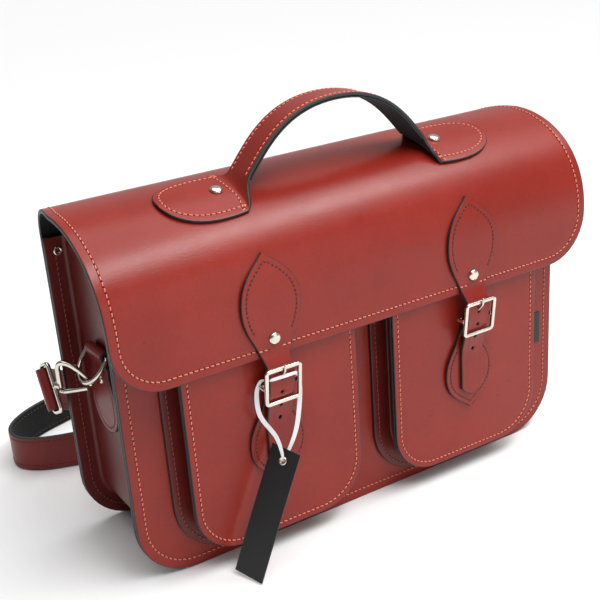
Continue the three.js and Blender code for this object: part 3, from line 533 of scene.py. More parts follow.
# ---- meshes ----
class Heap:
    """Points and faces that are gathered before they become one object."""

    def __init__(self):
        self.points = []
        self.faces = []
        self.parts = []

    def add(self, points, faces, part=0):
        start = len(self.points)
        self.points += points
        self.faces += [tuple(start + i for i in face) for face in faces]
        self.parts += part if isinstance(part, list) else [part] * len(faces)

    def build(self, name, materials, slot, body=None, weighted=True):
        mesh = bpy.data.meshes.new(name)
        mesh.from_pydata([to_metres(point) for point in self.points], [], self.faces)
        for material in materials:
            mesh.materials.append(material)
        mesh.polygons.foreach_set("material_index", self.parts)
        mesh.polygons.foreach_set("use_smooth", [True] * len(self.faces))
        mesh.update()
        piece = bpy.data.objects.new(name, mesh)
        bpy.context.scene.collection.objects.link(piece)
        if weighted:
            modifier = piece.modifiers.new("even_shading", "WEIGHTED_NORMAL")
            modifier.weight = 80
        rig.slot(piece, slot)
        if body:
            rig.ride(piece, body)
        return piece


def build_metal(heap, name, node, body, weighted=True):
    """Builds a plated piece that stands in for a CAD node."""
    piece = heap.build(name, (NICKEL,), "nickel", body, weighted)
    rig.replaces(piece, node)
    return piece


# Every seam carries dark lenses at its needle holes, which are painted shade.
def build_stitches(heap, name, sewn, body="bag_body", slot="red_leather"):
    return heap.build(name, (sewn, HOLE_SHADE), slot, body, False)


def face_normal(points, face):
    a, b, c, d = (points[i] for i in (face if len(face) == 4 else (*face, face[0])))
    return (c - a).cross(d - b)


SHEET_ROUNDING = 0.7


def thicken(points, faces, thickness, rounding=SHEET_ROUNDING):
    """Closes an outer face into a sheet with a rounded rim: faces are 0 outer, 1 inner, 2 rim."""
    normals = [Vector() for _ in points]
    edges = {}
    for face in faces:
        normal = face_normal(points, face)
        for i, corner in enumerate(face):
            normals[corner] += normal
            edges[(corner, face[(i + 1) % len(face)])] = normal
    normals = [normal.normalized() for normal in normals]
    rim_edges = [edge for edge in edges if (edge[1], edge[0]) not in edges]
    outward = {}
    for start, end in rim_edges:
        away = (points[end] - points[start]).cross(normals[start]).normalized()
        outward[start] = outward.get(start, Vector()) + away
        outward[end] = outward.get(end, Vector()) + away
    rounding = min(rounding, thickness * 0.35)
    # Each ring is (how far in from the outline, how deep below the outer face), in roundings.
    depth = thickness / rounding
    rings = ((1, 0), (0.3, 0.3), (0, 1), (0, depth - 1), (0.3, depth - 0.3), (1, depth))
    made = list(points)
    ring_index = {}
    for corner, away in outward.items():
        away = away.normalized()
        for ring, (inset, deep) in enumerate(rings):
            place = points[corner] - away * inset * rounding - normals[corner] * deep * rounding
            if ring == 0:
                made[corner] = place
                ring_index[corner, 0] = corner
            else:
                ring_index[corner, ring] = len(made)
                made.append(place)
    inner = {}
    for corner, point in enumerate(points):
        if corner in outward:
            inner[corner] = ring_index[corner, len(rings) - 1]
        else:
            inner[corner] = len(made)
            made.append(point - normals[corner] * thickness)
    all_faces = list(faces) + [tuple(inner[i] for i in reversed(face)) for face in faces]
    parts = [0] * len(faces) + [1] * len(faces)
    for start, end in rim_edges:
        for ring in range(len(rings) - 1):
            all_faces.append((
                ring_index[end, ring], ring_index[start, ring],
                ring_index[start, ring + 1], ring_index[end, ring + 1],
            ))
            parts.append(2)
    return made, all_faces, parts


def grid_faces(rows, columns, start=0):
    """Quads over rows of points; columns x rows points outward."""
    return [
        (
            start + i * columns + j, start + i * columns + j + 1,
            start + (i + 1) * columns + j + 1, start + (i + 1) * columns + j,
        )
        for i in range(rows - 1) for j in range(columns - 1)
    ]


def add_sheet(heap, rows, thickness, rounding=SHEET_ROUNDING):
    """Adds the closed sheet whose outer face is given as rows of points."""
    points = [point for row in rows for point in row]
    heap.add(*thicken(points, grid_faces(len(rows), len(rows[0])), thickness, rounding))


def leather_grid(name, rows, thickness, materials, slot, body, rounding=SHEET_ROUNDING):
    heap = Heap()
    add_sheet(heap, rows, thickness, rounding)
    return heap.build(name, materials, slot, body)


def lerp(a, b, part):
    return a + (b - a) * part


def bezier(a, b, c, d, part):
    keep = 1 - part
    return (
        a * keep ** 3 + b * (3 * keep * keep * part)
        + c * (3 * keep * part * part) + d * part ** 3
    )


def heading(line, i):
    """The direction of a line at its point i."""
    return (line[min(i + 1, len(line) - 1)] - line[max(i - 1, 0)]).normalized()


def smooth_step(value):
    value = min(1.0, max(0.0, value))
    return value * value * (3 - 2 * value)


def spline(points, steps):
    """A Catmull-Rom curve through points, with steps stretches between each pair."""
    line = []
    for i in range(len(points) - 1):
        before = points[max(i - 1, 0)]
        a, b = points[i], points[i + 1]
        after = points[min(i + 2, len(points) - 1)]
        for k in range(steps):
            t = k / steps
            line.append(0.5 * (
                2 * a + (b - before) * t
                + (2 * before - 5 * a + 4 * b - after) * t ** 2
                + (3 * a - 3 * b + after - before) * t ** 3
            ))
    return line + [points[-1]]


def resample(points, step):
    """Points a step apart along a line, each with its direction."""
    placed = []
    reached, wanted = 0.0, step / 2
    for a, b in zip(points, points[1:]):
        length = (b - a).length
        while length > 1e-9 and wanted <= reached + length:
            placed.append((lerp(a, b, (wanted - reached) / length), (b - a).normalized()))
            wanted += step
        reached += length
    return placed


# ---- leather patterns ----
def u_path(left, right, bottom, top, radius, inset, sides, arcs, floor):
    """The outline of a flat-topped, round-bottomed panel, moved in by inset, as (u, v) pairs."""
    half = [
        (left + inset, lerp(top, bottom + radius, k / sides)) for k in range(sides)
    ] + [
        (
            left + radius - (radius - inset) * math.cos(k / arcs * math.pi / 2),
            bottom + radius - (radius - inset) * math.sin(k / arcs * math.pi / 2),
        )
        for k in range(arcs)
    ]
    middle = [
        (lerp(left + radius, right - radius, k / floor), bottom + inset) for k in range(floor + 1)
    ]
    return half + middle + [(left + right - u, v) for u, v in reversed(half)]


def seam_rings(seam, band):
    """Insets for a panel's border rings: close together at the edge and either side of the seam."""
    return [0.0, 1.2, seam - 1.6, seam - 0.7, seam, seam + 0.7, seam + 1.6, band]


def seam_dip(inset, seam):
    """How far the thread pulls the leather down at this inset."""
    return 0.35 * max(0.0, 1 - abs(inset - seam) / 1.5)


def u_panel(outline, seam, band, wrap, sides, arcs, floor):
    """A panel's outer face: border rings that follow its outline, and a grid inside them."""
    insets = seam_rings(seam, band)
    rings = [u_path(*outline, inset, sides, arcs, floor) for inset in insets]
    count = len(rings[0])
    points = [
        wrap(u, v, -seam_dip(inset, seam)) for inset, ring in zip(insets, rings) for u, v in ring
    ]
    faces = [
        (r * count + k, r * count + k + 1, (r + 1) * count + k + 1, (r + 1) * count + k)
        for r in range(len(insets) - 1) for k in range(count - 1)
    ]
    last, inner_start = rings[-1], (len(insets) - 1) * count
    depth = sides + arcs
    index = {}
    for row in range(depth + 1):
        (left, v), (right, _) = last[row], last[count - 1 - row]
        for column in range(floor + 1):
            if row == depth:
                index[row, column] = inner_start + depth + column
            elif column in (0, floor):
                index[row, column] = inner_start + (row if column == 0 else count - 1 - row)
            else:
                index[row, column] = len(points)
                points.append(wrap(lerp(left, right, column / floor), v, 0))
    for row in range(depth):
        for column in range(floor):
            faces.append((
                index[row + 1, column], index[row + 1, column + 1],
                index[row, column + 1], index[row, column],
            ))
    return points, faces


def leaf_outline(tip, neck, neck_half, steps):
    """Half of a pointed leaf as (half width, height) pairs from its tip to its neck."""
    length = neck - tip
    wide = LEAF_HALF_WIDTH
    corners = [Vector((0, tip)), Vector((0.45 * wide, tip + 0.12 * length)),
               Vector((wide, tip + 0.2 * length)), Vector((wide, tip + 0.45 * length)),
               Vector((wide, tip + 0.7 * length)), Vector((neck_half, tip + 0.82 * length)),
               Vector((neck_half, neck))]
    upper = [bezier(*corners[:4], k / steps) for k in range(steps)]
    lower = [bezier(*corners[3:], k / steps) for k in range(steps + 1)]
    return [(max(point.x, 0.35), point.y) for point in upper + lower]


def leaf_columns(half, seam):
    """Where a leaf's columns lie across a row: close together at its edges and its seams."""
    squeeze = min(1.0, half / (seam + 4))
    edge = [inset * squeeze for inset in (0, 1.0, seam - 1.2, seam, seam + 1.2)]
    side = [half - inset for inset in edge]
    inner = side[-1]
    middle = [inner * part for part in (0.6, 0.2, -0.2, -0.6)]
    return [-u for u in side] + [-u for u in middle] + side[::-1]


def leaf_dip(half, u, seam):
    squeeze = min(1.0, half / (seam + 4))
    return 0.12 * squeeze if abs(half - abs(u) - seam * squeeze) < 0.05 else 0.0


def inset_outline(points, distance):
    """A 2-D outline moved sideways, to the right of its direction, without the part that folds over."""
    moved = []
    for i, point in enumerate(points):
        along = heading(points, i)
        candidate = point + Vector((along.y, -along.x)) * distance
        nearest = min((candidate - other).length for other in points)
        if nearest > distance - 0.12:
            moved.append(candidate)
    return moved


# ---- stitches ----
STITCH_PITCH = 4.1
STITCH_LENGTH = 3.1
STITCH_SIDES = 6


def add_stitch(heap, centre, along, outward, length, radius, slant):
    """One stitch: a thread that rises from one needle hole and sinks into the next."""
    across = along.cross(outward).normalized()
    along = (along + across * slant).normalized()
    across = along.cross(outward).normalized()
    rings = (
        (-0.5, -0.30, 0.6), (-0.36, 0.10, 0.95), (0, 0.24, 1.0), (0.36, 0.10, 0.95), (0.5, -0.30, 0.6),
    )
    points = []
    for place, rise, size in rings:
        middle = centre + along * place * length + outward * rise
        for k in range(STITCH_SIDES):
            angle = 2 * math.pi * k / STITCH_SIDES
            points.append(
                middle + (across * math.cos(angle) + outward * math.sin(angle)) * radius * size
            )
    faces = []
    for ring in range(len(rings) - 1):
        for k in range(STITCH_SIDES):
            a, b = ring * STITCH_SIDES + k, ring * STITCH_SIDES + (k + 1) % STITCH_SIDES
            faces.append((a, b, b + STITCH_SIDES, a + STITCH_SIDES))
    faces.append(tuple(range(STITCH_SIDES - 1, -1, -1)))
    faces.append(tuple(range(len(points) - STITCH_SIDES, len(points))))
    heap.add(points, faces, 0)


def add_needle_hole(heap, centre, along, outward, radius):
    """The painted shade of a needle hole: a dark flat lens on the leather where the needle went through."""
    across = along.cross(outward).normalized()
    ring = [
        centre + outward * 0.2
        + (along * math.cos(k * math.pi / 3) + across * math.sin(k * math.pi / 3)) * radius
        for k in range(6)
    ]
    points = ring + [centre + outward * 0.3, centre - outward * 0.25]
    faces = [(k, 6, (k + 1) % 6) for k in range(6)] + [((k + 1) % 6, 7, k) for k in range(6)]
    heap.add(points, faces, 1)


def sew(heap, line, normal_at, pitch=STITCH_PITCH, length=STITCH_LENGTH, radius=0.48, hole=0.72):
    """Sews along a line of points on a surface; normal_at gives the outward direction near a point."""
    for centre, along in resample(line, pitch):
        outward = normal_at(centre)
        add_stitch(heap, centre, along, outward, length, radius, 0.13)
        add_needle_hole(heap, centre + along * pitch / 2, along, outward, hole)


def constant(direction):
    return lambda _point: direction


FORWARD, BACKWARD = Vector((0, -1, 0)), Vector((0, 1, 0))


# ---- body: panels and gusset ----
def ripple(x, z, size):
    """The slight unevenness of a firm leather panel."""
    return size * noise.noise(Vector((x / 95, z / 80, size * 7)))


BODY = (-HALF_WIDTH, HALF_WIDTH, 0.0)


def front_wrap(face, size=0.3):
    return lambda u, v, raised: Vector((u, face - raised - ripple(u, v, size), v))


def back_wrap(face, size=0.3):
    return lambda u, v, raised: Vector((-u, face + raised + ripple(u, v, size), v))


def make_panel(name, node, wrap, materials):
    outline = (*BODY, PANEL_TOP, PANEL_CORNER)
    heap = Heap()
    heap.add(*thicken(*u_panel(outline, PANEL_SEAM, 16, wrap, 26, 10, 44), LEATHER))
    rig.replaces(heap.build(name, materials, "red_leather", "bag_body"), node)


def u_line(outline, inset, wrap, raised=0.0, sides=30, arcs=14, floor=30):
    return [wrap(u, v, raised) for u, v in u_path(*outline, inset, sides, arcs, floor)]


def make_gusset(name, node, front, rear, wall_inset, y_front, y_rear, thickness, bend):
    """A U-shaped gusset: a wall between a front and a rear flange, both turned outward.

    front and rear are the outlines that the flanges reach, with the same flat top."""
    steps = 7
    flat_parts = (0.0, 0.35, 0.7)
    turn = [(k / steps) * math.pi / 2 for k in range(steps + 1)]
    counts = (30, 12, 30)
    rear_reach = wall_inset + (rear[1] - front[1])
    section = [(front, part * (wall_inset - bend), y_front) for part in flat_parts]
    section += [
        (front, wall_inset - bend + bend * math.sin(a), y_front + bend * (1 - math.cos(a)))
        for a in turn
    ]
    wall = [lerp(y_front + bend, y_rear - bend, k / 10) for k in range(1, 10)]
    section += [
        (front, wall_inset - WALL_BELLY * math.sin(math.pi * k / 10), y)
        for k, y in enumerate(wall, 1)
    ]
    section += [
        (rear, rear_reach - bend + bend * math.cos(a), y_rear - bend + bend * math.sin(a))
        for a in turn
    ]
    section += [(rear, part * (rear_reach - bend), y_rear) for part in reversed(flat_parts)]
    columns = [u_path(*outline, inset, *counts) for outline, inset, _ in section]
    rows = [
        [Vector((line[k][0], y, line[k][1])) for line, (_, _, y) in zip(columns, section)]
        for k in range(len(columns[0]))
    ]
    heap = Heap()
    add_sheet(heap, rows, thickness)
    # Rims at the back take the fourth material, the dark wine painted shade.
    heap.parts = [
        3 if part == 2 and heap.points[face[0]].y > 0 else part
        for part, face in zip(heap.parts, heap.faces)
    ]
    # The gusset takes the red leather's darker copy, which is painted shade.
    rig.replaces(heap.build(name, SHADED_RED_SHEET, "shaded_leather", "bag_body"), node)


def make_body():
    front_wrapper = front_wrap(FRONT_FACE)
    back_wrapper = back_wrap(BACK_FACE)
    make_panel("front_panel_leather", "front_panel", front_wrapper, RED_SHEET)
    # The back panel's rim is dark wine, which is painted shade.
    make_panel("back_panel_leather", "back_panel", back_wrapper, BACK_SHEET)
    outline = (*BODY, GUSSET_TOP, PANEL_CORNER)
    flange_y = BACK_FACE - 2 * LEATHER - GAP
    make_gusset(
        "gusset_leather", "main_gusset", outline, outline, GUSSET_FLANGE, -flange_y, flange_y,
        LEATHER, 3.0,
    )
    panel = (*BODY, PANEL_TOP - 5, PANEL_CORNER)
    heap = Heap()
    sew(heap, u_line(panel, PANEL_SEAM, front_wrapper, -0.25), constant(FORWARD))
    sew(heap, u_line(panel, PANEL_SEAM, back_wrapper, -0.25), constant(BACKWARD))
    build_stitches(heap, "panel_stitches", ORANGE_THREAD)
    # The seams on the gusset's flanges take the darkened thread, which is painted shade.
    inside = Heap()
    sew(inside, u_line(panel, PANEL_SEAM, front_wrap(flange_y, 0)), constant(FORWARD), hole=0.8)
    sew(inside, u_line(panel, PANEL_SEAM, back_wrap(-flange_y, 0)), constant(BACKWARD), hole=0.8)
    build_stitches(inside, "gusset_stitches", SHADED_THREAD, slot="shaded_leather")


# ---- pockets ----
def pocket_edges(side, spread=0.0):
    inner, outer = POCKET_INNER - spread, POCKET_OUTER + spread
    left, right = (-outer, -inner) if side < 0 else (inner, outer)
    return (left, right, POCKET_BOTTOM - spread)


def make_pocket(name, side):
    outline = (*pocket_edges(side), POCKET_TOP, POCKET_CORNER)
    spread = (*pocket_edges(side, POCKET_SPREAD), POCKET_TOP, POCKET_CORNER + POCKET_SPREAD)
    wrapper = front_wrap(POCKET_FACE, 0.25)
    heap = Heap()
    heap.add(*thicken(*u_panel(outline, POCKET_SEAM, 12, wrapper, 22, 10, 22), POCKET_LEATHER))
    front = heap.build(f"pocket_leather_{name}", RED_SHEET, "red_leather", "bag_body")
    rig.replaces(front, f"pocket_front_{name}")
    y_front = POCKET_FACE + 2 * POCKET_LEATHER + GAP
    y_rear = FRONT_FACE - GAP - POCKET_LEATHER
    make_gusset(
        f"pocket_gusset_leather_{name}", f"pocket_gusset_{name}", outline, spread, POCKET_FLANGE,
        y_front, y_rear, POCKET_LEATHER, 1.6,
    )
    stitches = Heap()
    sewn = (*pocket_edges(side), POCKET_TOP - 4, POCKET_CORNER)
    sew(stitches, u_line(sewn, POCKET_SEAM, wrapper, -0.25), constant(FORWARD))
    build_stitches(stitches, f"pocket_stitches_{name}", ORANGE_THREAD)
    # The pocket gusset's rear seam takes the darkened thread, which is painted shade.
    rear = Heap()
    sewn = (*pocket_edges(side, POCKET_SPREAD), POCKET_TOP - 4, POCKET_CORNER + POCKET_SPREAD)
    sew(rear, u_line(sewn, POCKET_SEAM - 0.5, front_wrap(y_rear, 0)), constant(FORWARD), hole=0.75)
    build_stitches(rear, f"pocket_rear_stitches_{name}", SHADED_THREAD, slot="shaded_leather")


# ---- profiles ----
class Profile:
    """A line of (y, z) points that leather follows, with its outward direction at each place."""

    def __init__(self, points):
        self.points = points
        self.lengths = [0.0]
        for a, b in zip(points, points[1:]):
            self.lengths.append(self.lengths[-1] + (b - a).length)

    def normal(self, i):
        along = heading(self.points, i)
        return Vector((-along.y, along.x))

    def between(self, i, part, x, raised):
        point = lerp(self.points[i], self.points[i + 1], part)
        normal = lerp(self.normal(i), self.normal(i + 1), part).normalized()
        place = point + normal * raised
        return Vector((x, place.x, place.y)), Vector((0, normal.x, normal.y))

    def at_length(self, x, length, raised=0.0):
        length = min(max(length, 0.0), self.lengths[-1] - 1e-6)
        i = max(k for k, reached in enumerate(self.lengths) if reached <= length)
        i = min(i, len(self.points) - 2)
        part = (length - self.lengths[i]) / (self.lengths[i + 1] - self.lengths[i])
        return self.between(i, part, x, raised)

    def at_value(self, axis, value, x, raised=0.0, start=0):
        """The first place, from point start on, where the line's coordinate passes value."""
        for i in range(start, len(self.points) - 1):
            a, b = self.points[i][axis], self.points[i + 1][axis]
            if min(a, b) <= value <= max(a, b) and a != b:
                return self.between(i, (value - a) / (b - a), x, raised)
        return self.between(len(self.points) - 2, 1.0, x, raised)


def flap_profile():
    """The flap's outer face from its front edge, up and over to its hinge at the back."""
    front = [Vector((FLAP_FACE, z)) for z in (FLAP_BOTTOM, 168, 175, 182, 190)]
    over = [
        bezier(Vector((FLAP_FACE, 200)), Vector((FLAP_FACE, 252)),
               Vector((-38, FLAP_CROWN)), Vector((0, FLAP_CROWN)), k / 30)
        for k in range(30)
    ]
    back = [
        bezier(Vector((0, FLAP_CROWN)), Vector((30, FLAP_CROWN)),
               Vector((BACK_FACE, 265)), Vector((BACK_FACE, GUSSET_TOP)), k / 22)
        for k in range(23)
    ]
    return Profile(front + over + back + [Vector((BACK_FACE, PANEL_TOP + GAP))])


FLAP = flap_profile()
FLAP_LENGTH = FLAP.lengths[-1]
FLAP_OUTLINE = (-FLAP_HALF_WIDTH, FLAP_HALF_WIDTH, 0.0, FLAP_LENGTH, FLAP_CORNER)
CROWN_START = 8


def flap_wrap(u, v, raised):
    """The flap narrows to the back panel's width between its crown and its hinge."""
    place, _ = FLAP.at_length(u, v, raised + ripple(u, v, 0.25))
    behind = min(1.0, max(0.0, place.y / BACK_FACE))
    place.x *= lerp(1.0, HALF_WIDTH / FLAP_HALF_WIDTH, behind)
    return place


def flap_outward(point):
    """The flap's outward direction at the point of its profile nearest to a place."""
    nearest = min(
        ((Vector((point.x, p.x, p.y)) - point).length, i) for i, p in enumerate(FLAP.points)
    )[1]
    normal = FLAP.normal(nearest)
    return Vector((0, normal.x, normal.y))


def bend_at_hinge(piece):
    """The leather is one piece with the back, so it bends over a short stretch at the hinge."""
    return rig.blend(
        piece, "bag_body", "flap",
        to_metres((0, BACK_FACE, HINGE_Z)), to_metres((0, BACK_FACE - HINGE_BEND, HINGE_Z)),
    )


def make_flap():
    heap = Heap()
    heap.add(*thicken(*u_panel(FLAP_OUTLINE, FLAP_SEAM, 15, flap_wrap, 62, 10, 46), LEATHER))
    piece = heap.build("flap_leather", RED_SHEET, "red_leather")
    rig.replaces(bend_at_hinge(piece), "flap")
    stitches = Heap()
    sewn = (-FLAP_HALF_WIDTH, FLAP_HALF_WIDTH, 0.0, FLAP_LENGTH - 14, FLAP_CORNER)
    sew(stitches, u_line(sewn, FLAP_SEAM, flap_wrap, -0.2, 90, 14, 30), flap_outward)
    piece = build_stitches(stitches, "flap_stitches", ORANGE_THREAD, None)
    bend_at_hinge(piece)


# ---- closure straps and patches ----
def closure_profile():
    """The closure strap's outer face from its tail, up over the buckle's bar and on to the flap."""
    bar_face = BUCKLE_Y - BAR_FOLD - GAP - STRAP_LEATHER
    tail_face = PATCH_FACE - GAP - STRAP_LEATHER
    flap_face = FLAP_FACE - GAP - STRAP_LEATHER
    route = [(tail_face, TAIL_END - 4), (tail_face, 92), (tail_face - 0.2, 111),
             (bar_face + 3.4, BUCKLE_Z - 14), (bar_face, BUCKLE_Z - 2),
             (bar_face - 0.6, BUCKLE_Z + 7), (bar_face + 0.1, BUCKLE_Z + 14),
             (flap_face, FLAP_BOTTOM + 4), (flap_face, 182)]
    lower = spline([Vector(point) for point in route], 6)
    upper = []
    for z in range(184, 244, 3):
        place, _ = FLAP.at_value(1, z, 0, GAP + STRAP_LEATHER)
        upper.append(Vector((place.y, place.z)))
    return Profile(lower + upper)


CLOSURE = closure_profile()


def leaf_rows(outline, x, seam, wrap):
    rows = []
    for half, z in outline:
        columns = leaf_columns(half, seam)
        rows.append([wrap(x + u, z, -leaf_dip(half, u, seam)) for u in columns])
    return rows


def sew_leaf(heap, outline, x, seam, wrap, outward, pitch=3.3):
    """Sews round both sides of a leaf, from neck to neck."""
    half = [Vector(pair) for pair in outline]
    rim = [Vector((-p.x, p.y)) for p in reversed(half)] + half[1:]
    rising = half[-1].y > half[0].y
    line = inset_outline(rim, -seam if rising else seam)
    sew(heap, [wrap(x + p.x, p.y, -0.15) for p in line], outward, pitch, 1.5, 0.3, 0.85)


def bore(piece, tools):
    """Cuts straight round holes through a piece; tools are (start, end, radius)."""
    heap = Heap()
    for start, end, radius in tools:
        along = (end - start).normalized()
        across = along.orthogonal().normalized()
        other = along.cross(across)
        ring = [
            (across * math.cos(k * math.pi / 8) + other * math.sin(k * math.pi / 8)) * radius
            for k in range(16)
        ]
        points = [start + p for p in ring] + [end + p for p in ring]
        faces = [(k, (k + 1) % 16, 16 + (k + 1) % 16, 16 + k) for k in range(16)]
        faces += [tuple(range(15, -1, -1)), tuple(range(16, 32))]
        heap.add(points, faces)
    mesh = bpy.data.meshes.new("bore")
    mesh.from_pydata([to_metres(p) for p in heap.points], [], heap.faces)
    tool = bpy.data.objects.new("bore", mesh)
    bpy.context.scene.collection.objects.link(tool)
    mesh.materials.append(EDGE)
    modifier = piece.modifiers.new("holes", "BOOLEAN")
    modifier.object = tool
    modifier.solver = "EXACT"
    modifier.material_mode = "TRANSFER"
    piece.modifiers.move(len(piece.modifiers) - 1, 0)
    bpy.context.view_layer.update()
    graph = bpy.context.evaluated_depsgraph_get()
    shading = [m for m in piece.modifiers if m.type == "WEIGHTED_NORMAL"]
    for m in shading:
        m.show_viewport = False
    graph.update()
    cut_mesh = bpy.data.meshes.new_from_object(piece.evaluated_get(graph))
    for m in shading:
        m.show_viewport = True
    piece.modifiers.remove(modifier)
    piece.data = cut_mesh
    bpy.data.objects.remove(tool)
    return piece


STRAP_HOLES = (147, 135.5, 124.5, 113)


def make_closure(name, side):
    x = side * CLOSURE_X

    def wrap(u, z, raised):
        return CLOSURE.at_value(1, z, u, raised)[0]

    def outward(point):
        return CLOSURE.at_value(1, point.z, 0)[1]

    leaf = leaf_outline(LEAF_TIP, LEAF_NECK, STRAP_HALF_WIDTH, LEAF_STEPS)
    strap = [(STRAP_HALF_WIDTH, z) for z in range(153, 81, -3)]
    point = ((STRAP_HALF_WIDTH, 8.5), (9.6, 6.5), (6.8, 3.8), (3.4, 1.4), (0.6, 0.5))
    tail = [(half, TAIL_END + rise) for half, rise in point]
    rows = leaf_rows((leaf + strap + tail)[::-1], x, LEAF_SEAM, wrap)
    piece = leather_grid(
        f"closure_leather_{name}", rows, STRAP_LEATHER, RED_SHEET, "red_leather", None, 0.6,
    )
    holes = []
    for z in STRAP_HOLES:
        place, direction = CLOSURE.at_value(1, z, x)
        holes.append((place - direction * 6, place + direction * 6, 1.6))
    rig.ride(bore(piece, holes), "flap")
    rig.replaces(piece, f"closure_strap_{name}")
    stitches = Heap()
    sew_leaf(stitches, [pair for pair in leaf if pair[1] > 178], x, LEAF_SEAM, wrap, outward)
    build_stitches(stitches, f"closure_stitches_{name}", DARK_THREAD, "flap")
    across = Heap()
    seam_z = FLAP_BOTTOM + FLAP_SEAM
    for low, high in ((-13.6, -5.4), (5.4, 13.6)):
        line = [wrap(x + lerp(low, high, k / 4), seam_z, -0.15) for k in range(5)]
        sew(across, line, outward)
    build_stitches(across, f"closure_seam_{name}", ORANGE_THREAD, "flap")
    seat, direction = CLOSURE.at_value(1, LEAF_RIVET_Z, x)
    make_rivet(f"closure_rivet_metal_{name}", f"closure_rivet_{name}", seat, direction, 4.6, 2.3, "flap")


def patch_profile():
    """The patch's outer face: up the pocket, round the buckle's bar and down behind it."""
    rise = [(PATCH_FACE, z) for z in (58, 80, 100, 118, 126)]
    turn = [
        (BUCKLE_Y - BAR_FOLD * math.cos(a), BUCKLE_Z + BAR_FOLD * math.sin(a))
        for a in [math.radians(d) for d in (-28, 0, 30, 60, 90, 120, 150, 180)]
    ]
    return Profile(spline([Vector(point) for point in rise + turn], 4))


PATCH = patch_profile()


def make_patch(name, side):
    x = side * CLOSURE_X
    neck_half = STRAP_HALF_WIDTH - 1.5

    def wrap(u, v, raised):
        return PATCH.at_length(u, v - PATCH_TIP + 2, raised)[0]

    outline = leaf_outline(PATCH_TIP, PATCH_NECK, neck_half, LEAF_STEPS)
    rows = leaf_rows(outline, x, LEAF_SEAM, wrap)
    heap = Heap()
    add_sheet(heap, rows, STRAP_LEATHER, STRAP_ROUNDING)
    fold = [PATCH_NECK - 0.5 + k * 1.1 for k in range(21)]
    for ear in (-1, 1):
        near, far = (-neck_half, -2.6) if ear < 0 else (2.6, neck_half)
        ear_rows = [
            [wrap(x + lerp(near, far, c / 4), v, 0) for c in range(5)] for v in fold
        ]
        add_sheet(heap, ear_rows, STRAP_LEATHER, 0.5)
    piece = heap.build(f"patch_leather_{name}", RED_SHEET, "red_leather", "bag_body")
    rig.replaces(piece, f"buckle_patch_{name}")
    stitches = Heap()
    sewn = [pair for pair in outline if pair[1] < 118]
    sew_leaf(stitches, sewn, x, LEAF_SEAM, wrap, constant(FORWARD))
    build_stitches(stitches, f"patch_stitches_{name}", DARK_THREAD)


# ---- metal ----
def circle_section(radius, sides=12):
    return [
        (radius * math.cos(2 * math.pi * k / sides), radius * math.sin(2 * math.pi * k / sides))
        for k in range(sides)
    ]


def soft_section(half_a, half_b, sides=20, square=3.2):
    """A cast bar's section: a rectangle with well-rounded corners."""
    section = []
    for k in range(sides):
        angle = 2 * math.pi * (k + 0.5) / sides
        c, s = math.cos(angle), math.sin(angle)
        section.append((
            half_a * math.copysign(abs(c) ** (2 / square), c),
            half_b * math.copysign(abs(s) ** (2 / square), s),
        ))
    return section


def sweep(heap, path, binormal, section, closed=False, sizes=None):
    """Sweeps a section along a path; its second coordinate runs along the binormal."""
    count, sides = len(path), len(section)
    points = []
    for i, place in enumerate(path):
        before = path[i - 1] if closed or i else path[0]
        after = path[(i + 1) % count] if closed else path[min(i + 1, count - 1)]
        along = (after - before).normalized()
        up = binormal[i] if isinstance(binormal, list) else binormal
        side = along.cross(up).normalized()
        up = side.cross(along).normalized()
        size = sizes[i] if sizes else 1.0
        points += [place + (side * a + up * b) * size for a, b in section]
    faces = []
    for i in range(count if closed else count - 1):
        for k in range(sides):
            a, b = i * sides + k, i * sides + (k + 1) % sides
            c, d = ((i + 1) % count) * sides + (k + 1) % sides, ((i + 1) % count) * sides + k
            faces.append((a, d, c, b))
    if not closed:
        faces.append(tuple(range(sides)))
        faces.append(tuple(range(count * sides - 1, (count - 1) * sides - 1, -1)))
    heap.add(points, faces)


def lathe(heap, profile, place, axis, sides=24):
    """Turns (radius, height) pairs round an axis; the profile is closed or ends on the axis."""
    across = axis.orthogonal().normalized()
    other = axis.cross(across)
    points = []
    for radius, height in profile:
        for k in range(sides):
            angle = 2 * math.pi * k / sides
            points.append(
                place + axis * height
                + (across * math.cos(angle) + other * math.sin(angle)) * max(radius, 0.02)
            )
    rings = len(profile)
    faces = []
    whole = profile[0] == profile[-1]
    for ring in range(rings - 1):
        start, after = ring * sides, (ring + 1) % (rings - 1) * sides if whole else (ring + 1) * sides
        for k in range(sides):
            other_k = (k + 1) % sides
            faces.append((start + k, start + other_k, after + other_k, after + k))
    if whole:
        points = points[:-sides]
    else:
        faces.append(tuple(range(sides - 1, -1, -1)))
        faces.append(tuple(range((rings - 1) * sides, rings * sides)))
    heap.add(points, faces)


def make_rivet(name, node, seat, outward, radius, height, body):
    """A domed rivet cap with a rolled rim, pressed a little into the leather."""
    heap = Heap()
    profile = [
        (0.0, -1.2), (radius * 0.5, -1.2), (radius * 0.5, 0.0), (radius * 0.96, 0.05),
        (radius, height * 0.16), (radius * 0.985, height * 0.34), (radius * 0.92, height * 0.56),
        (radius * 0.78, height * 0.78), (radius * 0.55, height * 0.93), (radius * 0.28, height * 0.99),
        (0.0, height),
    ]
    lathe(heap, profile, seat, outward, 28)
    return build_metal(heap, name, node, body, False)


def rounded_rectangle(half_a, half_b, radius, steps=5):
    corners = ((1, 1, 0), (-1, 1, 90), (-1, -1, 180), (1, -1, 270))
    line = []
    for sign_a, sign_b, start in corners:
        for k in range(steps + 1):
            angle = math.radians(start + 90 * k / steps)
            line.append((
                sign_a * (half_a - radius) + radius * math.cos(angle),
                sign_b * (half_b - radius) + radius * math.sin(angle),
            ))
    return line


